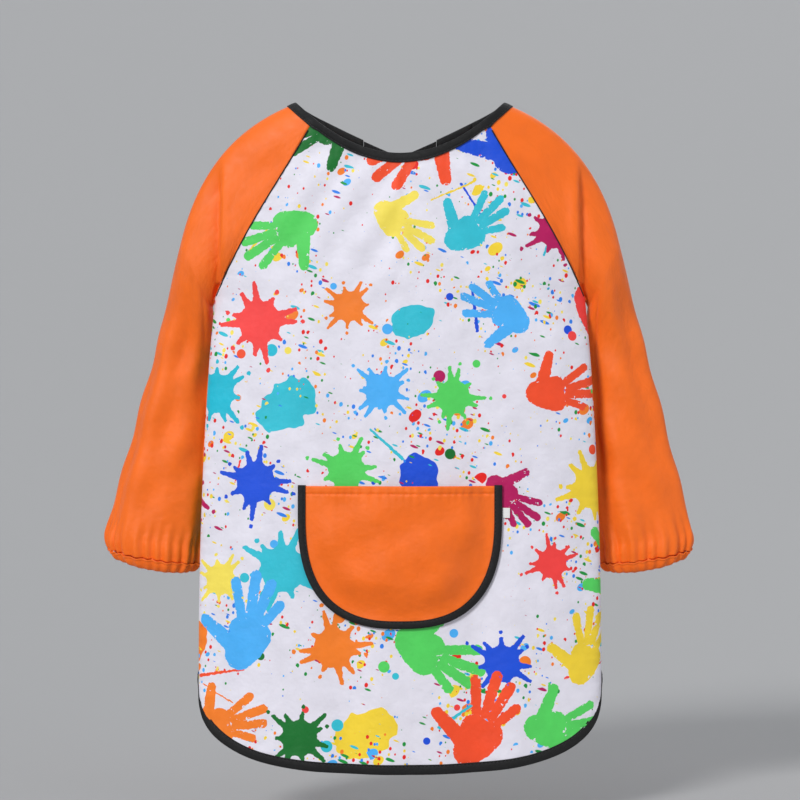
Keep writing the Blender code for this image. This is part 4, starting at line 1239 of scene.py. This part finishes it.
def with_flap(piece, side_name):
    side = SIDES[side_name]
    fold = unit(np.array([FLAP_END[0] - FLAP_NECK_X, 0.0, FLAP_END[1] - back_neckline_z(FLAP_NECK_X)]))
    square = np.array([fold[2], 0.0, -fold[0]])
    start = np.array([FLAP_NECK_X, BACK_DEPTH, back_neckline_z(FLAP_NECK_X)])
    end = start + square * FLAP_BEND_WIDTH
    mirrored(start, side)
    mirrored(end, side)
    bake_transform(piece)
    return piece


def with_sleeve(piece, side_name):
    start, end = (mirrored(np.array(place), SIDES[side_name]) for place in SLEEVE_BEND)
    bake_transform(piece)
    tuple(start)
    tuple(end)
    return piece


# ---- Body and sleeves ----------------------------------------------------------------------------
front_points, front_flat = front_grid()
front_cloth = grid_piece("front_cloth", front_points, front_flat, thickness=CLOTH)
dress_in_print(front_cloth)
with_smock(front_cloth)
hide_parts("front_panel")

back_cloths, sleeve_cloths = {}, {}
for side_name, side in SIDES.items():
    points, flat = back_grid(side)
    cloth = grid_piece("back_cloth_" + side_name, points, flat, thickness=CLOTH)
    dress_in_print(cloth)
    with_flap(cloth, side_name)
    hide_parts("back_panel_" + side_name, "back_flap_" + side_name)
    back_cloths[side_name] = cloth

    points, flat = sleeve_grid(side)
    cloth = grid_piece(
        "sleeve_cloth_" + side_name, points, flat, around=True, thickness=CLOTH, material=orange_look
    )
    with_sleeve(cloth, side_name)
    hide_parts("sleeve_upper_" + side_name, "sleeve_lower_" + side_name)
    sleeve_cloths[side_name] = cloth


# ---- Cuffs ---------------------------------------------------------------------------------------
CUFF_COLUMNS = 324
ELASTIC_THICKNESS = 0.0012
ELASTIC_WIDTH = 0.0048


def cuff_frame(side):
    turns = 2 * math.pi * np.arange(CUFF_COLUMNS) / CUFF_COLUMNS
    fold, above = cuff_rings(np.array([1.0, 0.62]), turns)
    return turns, mirrored(fold, side), mirrored(above, side)


cuffs, elastics = {}, {}
for side_name, side in SIDES.items():
    turns, fold, above = cuff_frame(side)
    casing = channel(CASING_HEIGHT, ELASTIC_THICKNESS + 0.0010, crown=0.25)
    pleat = np.cos(CUFF_PLEATS * turns + 0.9 * np.sin(3 * turns + 0.5) + 0.5 * np.sin(7 * turns + 1.9))
    waver = np.cos(11 * turns + 1.7 * np.sin(2 * turns + 0.8))
    up, out = np.array(casing).T
    weight = np.where(out > 0, 1.0, 0.5) * (0.45 + 0.55 * (up > 0))
    relief = (0.0009 * pleat + 0.0006 * waver)[:, None] * weight
    away = np.array([0.0, -1.0, 0.0])
    quarter = CUFF_COLUMNS // 4
    cuff = tape_piece(
        "cuff_" + side_name, fold, above, casing, orange_look, (quarter, away), around=True, relief=relief
    )
    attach(cuff, "sleeve_" + side_name)
    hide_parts("cuff_casing_" + side_name)
    cuffs[side_name] = cuff
    low, half = TAPE - BINDING_FOLD + FIT_GAP, ELASTIC_THICKNESS / 2
    band = [(low, -half), (low + ELASTIC_WIDTH, -half), (low + ELASTIC_WIDTH, half), (low, half)]
    elastic = tape_piece(
        "elastic_" + side_name, fold[::3], above[::3], band, elastic_look, (quarter // 3, away), around=True
    )
    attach(elastic, "sleeve_" + side_name)
    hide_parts("cuff_elastic_" + side_name)
    elastics[side_name] = elastic


# ---- Binding tapes -------------------------------------------------------------------------------
TAPE_POINT_SPACING = 0.004
BINDING_PROFILE = channel(BINDING_WIDTH, CLOTH)
BINDING_HALF = CLOTH / 2 + FIT_GAP + TAPE
FRONT_FACING = np.array([0.0, -1.0, 0.0])
BACK_FACING = np.array([0.0, 1.0, 0.0])


def even_frames(edge, rim):
    """The same tape edge and rim with evenly spaced points and a steady width."""
    length = run_along(edge)
    count = max(3, int(round(length[-1] / TAPE_POINT_SPACING)) + 1)
    places = np.linspace(0.0, length[-1], count)
    inward = unit(rim - edge)
    edge, inward = (read_at(places, length, line) for line in (edge, inward))
    return edge, edge + unit(inward) * BINDING_WIDTH


def bound(name, edge, rim, facing):
    edge, rim = even_frames(edge, rim)
    index = int(round(facing[0] * (len(edge) - 1)))
    return tape_piece(name, edge, rim, BINDING_PROFILE, tape_look, (index, facing[1]))


STITCH_INSET = 0.80           # how far in from the fold a tape's stitches run, as a share of its width
STITCH_LEVEL = 0.88           # how high they stand, as a share of the tape's height


def binding_stitches(name, edge, rim, facing):
    """Stitches through a binding near its rim, on the outer side and on the inner one."""
    edge, rim = even_frames(edge, rim)
    index = int(round(facing[0] * (len(edge) - 1)))
    outward = outward_of(edge, rim, (index, facing[1]))
    line = edge + unit(rim - edge) * (BINDING_WIDTH - BINDING_FOLD) * STITCH_INSET
    rows = []
    for ending, sign in (("_outer", 1.0), ("_inner", -1.0)):
        seam = line + outward * sign * BINDING_HALF * STITCH_LEVEL
        rows.append(stitch_row(name + ending, seam, outward * sign, black_thread))
    return rows


def front_bottom_edge():
    """Edge and rim of the hem, from the left side fold to the right."""
    along = front_points[0]
    above = on_front(along[:, 0], along[:, 2] + 0.004)
    inward = above - along
    steep = smooth(0.62, 1.0, np.abs(along[:, 0]) / HEM_HALF_WIDTH)
    inward[:, 0] -= np.sign(along[:, 0]) * steep * 0.0020
    return along, along + inward


def back_side_edge():
    """Edge and rim from the right side fold round the back corner to the foot of the open back edge."""
    turns = np.linspace(0.0, math.pi / 2, 40)
    share = 1 - np.cos(turns)
    z = back_corner_z(turns / (math.pi / 2))
    x = mix(side_half_width(z), fold_line_x(z), share)
    above_z = z + 0.006
    upright = stacked(mix(side_half_width(above_z), fold_line_x(above_z), share), above_z)
    straight_on = smooth(0.45, 1.0, turns / (math.pi / 2))[:, None]
    square = stacked(x + BINDING_WIDTH, z + 0.002)
    target = mix(upright, square, straight_on)
    return on_back(x, z), on_back(target[:, 0], target[:, 1])


def back_open_edge(low, high):
    z = np.linspace(low, high, 60)
    edge = on_back(back_edge_x(z), z)
    rise = unit(np.array([back_edge_x(high) - back_edge_x(low), 0.0, high - low]))
    inward = np.array([abs(rise[2]), 0.0, abs(rise[0])])
    return edge, edge + inward * BINDING_WIDTH


def joined(*parts):
    """One edge and rim from several, dropping points that coincide."""
    edge = np.concatenate([part[0] for part in parts])
    rim = np.concatenate([part[1] for part in parts])
    keep = np.concatenate([[True], np.linalg.norm(np.diff(edge, axis=0), axis=-1) > 0.0004])
    return edge[keep], rim[keep]


def other_side(part):
    return tuple(mirrored(line, -1)[::-1] for line in part)


side_edge = back_side_edge()
hem_frames = joined(other_side(side_edge), front_bottom_edge(), side_edge)
hem_binding = with_smock(bound("hem_binding", *hem_frames, (0.5, FRONT_FACING)))
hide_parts("edge_binding")
hem_stitches = binding_stitches("hem_stitches", *hem_frames, (0.5, FRONT_FACING))
for row in hem_stitches:
    with_smock(row)

strap_foot = float(back_neckline_z(0.0)) - STRAP_WIDTH + 0.002
flap_stitches = {}
for side_name, side in SIDES.items():
    frames = tuple(mirrored(line, side) for line in back_open_edge(FLAP_END[1] - 0.001, strap_foot))
    piece = bound("back_edge_binding_" + side_name, *frames, (0.5, BACK_FACING))
    with_flap(piece, side_name)
    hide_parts("edge_binding_flap_" + side_name)
    rows = binding_stitches("back_edge_stitches_" + side_name, *frames, (0.5, BACK_FACING))
    flap_stitches[side_name] = [with_flap(row, side_name) for row in rows]


def back_neck_edge(low_x, high_x, count=40):
    x = np.linspace(low_x, high_x, count)
    z = back_neckline_z(x)
    return on_back(x, z), on_back(x, z - BINDING_WIDTH)


def shoulder_edge():
    """Edge and rim over the right shoulder, from the front raglan seam to the back one."""
    turns = sleeve_turns()
    edge, rim = upper_rings(np.array([0.0, 0.08]), turns)
    steps = np.arange(NECK_STEPS, -NECK_STEPS - 1, -1)
    return edge[steps], rim[steps]


neck_top = front_points[-1]
neck_front = (neck_top, on_front(neck_top[:, 0], neck_top[:, 2] - BINDING_WIDTH))
inside = np.abs(neck_top[:, 0]) < FRONT_RAGLAN_X - 0.001
neck_front = tuple(line[inside] for line in neck_front)
right_neck = joined(shoulder_edge(), back_neck_edge(BACK_RAGLAN_X - 0.001, FLAP_NECK_X, 9))
neck_frames = joined(other_side(right_neck), neck_front, right_neck)
neck_binding = with_smock(bound("neck_band", *neck_frames, (0.5, FRONT_FACING)))
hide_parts("neck_binding")
neck_stitches = binding_stitches("neck_stitches", *neck_frames, (0.5, FRONT_FACING))
for row in neck_stitches:
    with_smock(row)
for side_name, side in SIDES.items():
    frames = back_neck_edge(STRAP_HALF_LENGTH + STRAP_GAP, FLAP_NECK_X)
    frames = tuple(mirrored(line, side) for line in frames)
    piece = bound("back_neck_band_" + side_name, *frames, (0.5, BACK_FACING))
    with_flap(piece, side_name)
    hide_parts("neck_binding_flap_" + side_name)
    for row in binding_stitches("back_neck_stitches_" + side_name, *frames, (0.5, BACK_FACING)):
        flap_stitches[side_name].append(with_flap(row, side_name))


# ---- Raglan pipings ------------------------------------------------------------------------------
def round_profile(radius, count=10):
    turns = np.arange(count) / count * 2 * math.pi
    return [(radius * math.cos(turn), radius * math.sin(turn)) for turn in turns]


for side_name, side in SIDES.items():
    for face, corner, surface, facing in (
        ("front", FRONT_RAGLAN_TOP, on_front, FRONT_FACING),
        ("back", BACK_RAGLAN_TOP, on_back, BACK_FACING),
    ):
        z = np.linspace(corner[1] - BINDING_WIDTH - 0.001, UNDERARM_Z + 0.001, 70)
        seam = surface(raglan_x(z, corner) - 0.0006, z)
        lean = (0.45 + 0.75 * facing[1]) * smooth(UNDERARM_Z + 0.07, UNDERARM_Z, z)
        outward = unit(stacked(np.maximum(lean, 0.0), facing[1], 0.15))
        line = mirrored(seam + outward * (CLOTH / 2 + PIPING_RADIUS * 0.5), side)
        rim = line + mirrored(outward, side)
        middle = len(z) // 2
        across = np.cross(rim - line, np.gradient(line, axis=0))[middle]
        name = f"raglan_line_{face}_{side_name}"
        profile = round_profile(PIPING_RADIUS)
        piping = tape_piece(name, line, rim, profile, piping_look, (middle, across))
        with_smock(piping)
        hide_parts(f"raglan_piping_{face}_{side_name}")


# ---- Pocket --------------------------------------------------------------------------------------
POCKET_LIFT = CLOTH / 2 + FIT_GAP + BINDING_HALF
POCKET_COLUMNS = 120
POCKET_ROWS = 90
HEM_ROLL = 0.0009             # half the thickness of the folded hem at the pocket mouth


def square_to_front(x, z):
    """Directions square to the front, without its finest puckers."""
    step = 0.004
    across = stacked(2 * step, front_base_y(x + step, z) - front_base_y(x - step, z), 0.0 * z)
    rise = stacked(0.0 * x, front_base_y(x, z + step) - front_base_y(x, z - step), 2 * step)
    return unit(np.cross(across, rise))


def lifted(x, z, lift):
    """Points lift in front of the front panel, square to it."""
    return on_front(x, z) + square_to_front(x, z) * np.asarray(lift)[..., None]


def pocket_outline(share):
    """The pocket's edge as (x, z), from the left top corner (share -1) round to the right (share 1)."""
    turn = np.minimum(1.0, np.abs(share) / 0.82) * math.pi / 2
    power = 2 / POCKET_SQUARENESS
    x = POCKET_HALF_WIDTH * np.sin(turn) ** power
    z = POCKET_TOP - POCKET_STRAIGHT - POCKET_ROUND * np.clip(np.cos(turn), 0.0, 1.0) ** power
    straight = np.maximum(0.0, np.abs(share) - 0.82) / 0.18
    return np.copysign(x, share), z + POCKET_STRAIGHT * straight


def pocket_relief(x, z):
    """How far the pocket stands off its binding: its crown, soft wrinkles and the puckers along its hem."""
    below = np.maximum(0.0, POCKET_TOP - POCKET_STRAIGHT - z) / POCKET_ROUND
    reach = ((np.abs(x) / POCKET_HALF_WIDTH) ** POCKET_SQUARENESS + below**POCKET_SQUARENESS)
    edge = np.maximum(0.0, 1 - reach ** (1 / POCKET_SQUARENESS)) * POCKET_HALF_WIDTH
    crown = POCKET_BULGE * smooth(POCKET_BINDING_WIDTH, 0.035, edge)
    room = smooth(0.004, 0.030, edge)
    soft = 0.0011 * np.sin(2 * math.pi * (x * 0.9 + z * 0.35) / 0.041 + 0.7)
    soft = soft + 0.0008 * np.sin(2 * math.pi * (x * 0.5 - z) / 0.052 + 2.1)
    hem = np.exp(-np.abs(POCKET_TOP - POCKET_FACING - z) / 0.006)
    pulls = 0.00055 * np.sin(2 * math.pi * x / 0.0075 + 1.7 * np.sin(x * 130.0)) * hem
    pulls = pulls * smooth(0.002, 0.012, edge)
    seam = -0.0007 * np.exp(-(((z - POCKET_TOP + POCKET_FACING) / 0.0011) ** 2)) * smooth(0.002, 0.010, edge)
    return crown + soft * room + pulls + seam


def pocket_grid():
    foot = POCKET_TOP - POCKET_STRAIGHT - POCKET_ROUND
    curve = foot + POCKET_ROUND * (1 - np.cos(np.linspace(0.05, math.pi / 2, POCKET_ROWS - 30)))
    z = np.concatenate([curve, np.linspace(POCKET_TOP - POCKET_STRAIGHT, POCKET_TOP - HEM_ROLL, 31)[1:]])
    below = np.maximum(0.0, POCKET_TOP - POCKET_STRAIGHT - z) / POCKET_ROUND
    half = POCKET_HALF_WIDTH * (1 - below**POCKET_SQUARENESS) ** (1 / POCKET_SQUARENESS)
    x = half[:, None] * np.linspace(-1.0, 1.0, POCKET_COLUMNS + 1)[None, :]
    z = np.broadcast_to(z[:, None], x.shape)
    face = lifted(x, z, POCKET_LIFT + pocket_relief(x, z))
    square = square_to_front(x, z)
    rows = [face]
    top_square = square[-1]
    fold_middle = face[-1] - top_square * HEM_ROLL
    up = np.array([0.0, 0.0, 1.0])
    for turn in (0.45, 0.9, math.pi / 2, 2.24, 2.69):
        turned = top_square * math.cos(turn) + up * math.sin(turn)
        rows.append((fold_middle + turned * HEM_ROLL)[None])
    inner_half = (POCKET_HALF_WIDTH - POCKET_BINDING_WIDTH) / POCKET_HALF_WIDTH
    for drop in np.linspace(0.0, POCKET_FACING, 7):
        back = (fold_middle - top_square * HEM_ROLL - up * drop)[None]
        back[..., 0] *= mix(1.0, inner_half, min(1.0, drop / 0.002))
        rows.append(back)
    points = np.concatenate(rows)
    flat_z = np.concatenate([[0.0], np.cumsum(np.linalg.norm(np.diff(points, axis=0), axis=-1).mean(axis=1))])
    return points, stacked(points[..., 0], flat_z[:, None])


pocket_points, pocket_flat = pocket_grid()
pocket = grid_piece("pocket_cloth", pocket_points, pocket_flat, thickness=CLOTH, material=orange_look)
with_smock(pocket)
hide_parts("pocket_panel", "pocket_facing")

outline_share = np.linspace(-1.0, 1.0, 241)
outline_x, outline_z = pocket_outline(outline_share)
outline_z = outline_z + 0.0012 * smooth(0.995, 1.0, np.abs(outline_share))
tangent = unit(stacked(np.gradient(outline_x), np.gradient(outline_z)))
inward_x, inward_z = -tangent[:, 1], tangent[:, 0]
pocket_edge = lifted(outline_x, outline_z, POCKET_LIFT)
pocket_rim = lifted(outline_x + inward_x * 0.007, outline_z + inward_z * 0.007, POCKET_LIFT)
pocket_profile = channel(POCKET_BINDING_WIDTH, CLOTH)
pocket_tape = tape_piece(
    "pocket_edge_tape", pocket_edge, pocket_rim, pocket_profile, tape_look, (120, FRONT_FACING)
)
with_smock(pocket_tape)
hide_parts("pocket_binding")
pocket_out = outward_of(pocket_edge, pocket_rim, (120, FRONT_FACING))
seam_inset = (POCKET_BINDING_WIDTH - BINDING_FOLD) * STITCH_INSET
seam_line = pocket_edge + unit(pocket_rim - pocket_edge) * seam_inset
seam_line = seam_line + pocket_out * BINDING_HALF * STITCH_LEVEL
pocket_seam = stitch_row("pocket_edge_stitches", seam_line, pocket_out, black_thread)
with_smock(pocket_seam)
hem_x = np.linspace(-POCKET_HALF_WIDTH + 0.008, POCKET_HALF_WIDTH - 0.008, 160)
hem_height = np.full_like(hem_x, POCKET_TOP - POCKET_FACING)
hem_line = lifted(hem_x, hem_height, POCKET_LIFT + pocket_relief(hem_x, hem_height) + CLOTH / 2)
hem_out = square_to_front(hem_x, hem_height)
hem_seam = stitch_row("pocket_hem_stitches", hem_line, hem_out, orange_thread, pitch=0.0030, length=0.0021)
with_smock(hem_seam)


# ---- Tag -----------------------------------------------------------------------------------------
TAG_START = POCKET_HALF_WIDTH + BINDING_FOLD + FIT_GAP
TAG_THICKNESS = 0.0005
TAG_LIFT = CLOTH / 2 + 2 * FIT_GAP
tag_across, tag_down = np.meshgrid(np.linspace(0.0, 1.0, 20), np.linspace(0.0, 1.0, 24))
tag_x = TAG_START + TAG_SIZE[0] * tag_across
tag_z = POCKET_TOP - TAG_DROP - TAG_SIZE[1] * tag_down
tag_curl = 0.0006 * tag_across**2 * (1 - tag_down)
tag_points = lifted(tag_x, tag_z, TAG_LIFT + tag_curl)
tag_flat = stacked(tag_x, tag_z)
tag = grid_piece("blank_tag", tag_points, tag_flat, thickness=TAG_THICKNESS, material=label_look)
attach(tag, "tag")
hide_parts("size_tag")


# ---- Closure at the back neck --------------------------------------------------------------------
def strap_profile(width, thickness):
    """A flat band with rounded long edges, from its top (0) down to its width."""
    half = thickness / 2
    turns = np.linspace(-math.pi / 2, math.pi / 2, 7)
    top = [(half - half * math.cos(turn), half * math.sin(turn)) for turn in turns]
    bottom = [(width - half + half * math.cos(turn), -half * math.sin(turn)) for turn in turns]
    return top + bottom


def strap_piece(name, layer, replaced):
    x = np.linspace(-STRAP_HALF_LENGTH, STRAP_HALF_LENGTH, 67)
    edge = stacked(x, BACK_DEPTH + layer, back_neckline_z(x))
    rim = edge + np.array([0.0, 0.0, -STRAP_WIDTH])
    facing = BACK_FACING if layer > 0 else FRONT_FACING
    piece = tape_piece(name, edge, rim, strap_profile(STRAP_WIDTH, CLOTH), strap_look, (33, facing))
    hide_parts(replaced)
    inset = 0.0011
    corners = np.array([(-1, 0), (1, 0), (1, 1), (-1, 1), (-1, 0)], dtype=float)
    path = []
    for (start_x, start_down), (end_x, end_down) in zip(corners[:-1], corners[1:]):
        share = np.linspace(0.0, 1.0, 40, endpoint=False)
        at_x = mix(start_x, end_x, share) * (STRAP_HALF_LENGTH - inset)
        down = mix(start_down, end_down, share) * (STRAP_WIDTH - 2 * inset) + inset
        height = BACK_DEPTH + layer + facing[1] * CLOTH / 2
        path.append(stacked(at_x, height, back_neckline_z(at_x) - down))
    path = np.concatenate(path)
    return piece, stitch_row(name + "_stitches", path, np.broadcast_to(facing, path.shape), black_thread)


for piece in strap_piece("outer_strap", STRAP_LAYER, "closure_strap_outer"):
    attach(piece, "closure_strap")
for piece in strap_piece("inner_strap", -STRAP_LAYER, "closure_strap_inner"):
    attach(piece, "flap_right")
for node_name, look in (("hook_tape", hook_look), ("loop_tape", loop_look)):
    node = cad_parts[node_name]
    node.data.materials.clear()
    node.data.materials.append(look)


# ---- Floor and light -----------------------------------------------------------------------------
FLOOR_Z = -0.640
FLAT_RADIUS = 0.9
WALL_RADIUS = 14.0   # far beyond the camera


def studio_floor():
    """A round pale floor that curves up into a wall far away, so that no edge shows from any side."""
    curve = WALL_RADIUS - FLAT_RADIUS
    profile = [(0.0, 0.0), (0.5 * FLAT_RADIUS, 0.0), (FLAT_RADIUS, 0.0)]
    profile += [
        (FLAT_RADIUS + curve * math.sin(turn), curve * (1 - math.cos(turn)))
        for turn in np.linspace(0.02, math.pi / 2, 60)
    ]
    profile += [(WALL_RADIUS, 1.2 * WALL_RADIUS)]
    turns = np.arange(128) / 128 * 2 * math.pi
    rings = [
        stacked(max(radius, 0.001) * np.cos(turns), max(radius, 0.001) * np.sin(turns), FLOOR_Z + height)
        for radius, height in profile
    ]
    material, _, surface = new_material("Pale floor")
    surface.inputs["Base Color"].default_value = (0.36, 0.36, 0.365, 1.0)
    surface.inputs["Roughness"].default_value = 0.9
    floor = grid_piece("studio_floor", np.array(rings), around=True, material=material)
    floor.visible_shadow = False
    floor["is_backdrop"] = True


def soft_light(name, place, power, softness):
    """A broad even light that shines from place towards the smock, softness degrees across."""
    data = bpy.data.lights.new(name, "SUN")
    data.energy = power
    data.angle = math.radians(softness)
    light = link(bpy.data.objects.new(name, data))
    light.rotation_euler = (-Vector(place)).to_track_quat("-Z", "Y").to_euler()


studio_floor()
soft_light("Key light", (-0.62, -1.0, 0.72), 2.1, 16.0)
soft_light("Fill light", (0.9, -0.8, 0.15), 0.55, 40.0)
soft_light("Back light", (0.3, 1.0, 0.6), 1.0, 40.0)
world = bpy.data.worlds.new("Soft room light")
world.use_nodes = True
world.node_tree.nodes["Background"].inputs["Color"].default_value = (0.9, 0.95, 1.0, 1.0)
world.node_tree.nodes["Background"].inputs["Strength"].default_value = 0.75
bpy.context.scene.world = world


def declare(piece, hangs_from, pieces):
    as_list(hangs_from)


front_pieces = (hem_binding, neck_binding, *hem_stitches, *neck_stitches)
declare(front_cloth, neck_binding, front_pieces)
for side_name in SIDES:
    declare(back_cloths[side_name], neck_binding, tuple(flap_stitches[side_name]))
    cuff_pieces = (cuffs[side_name], elastics[side_name])
    declare(sleeve_cloths[side_name], neck_binding, cuff_pieces)
declare(pocket, front_cloth, (pocket_tape, pocket_seam, hem_seam))


# ---- Sizes, and the end --------------------------------------------------------------------------
def plain(box):
    return [[float(value) for value in corner] for corner in box]


new_low, new_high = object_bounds()
{"cad": plain((cad_low, cad_high)), "look": plain((new_low, new_high))}
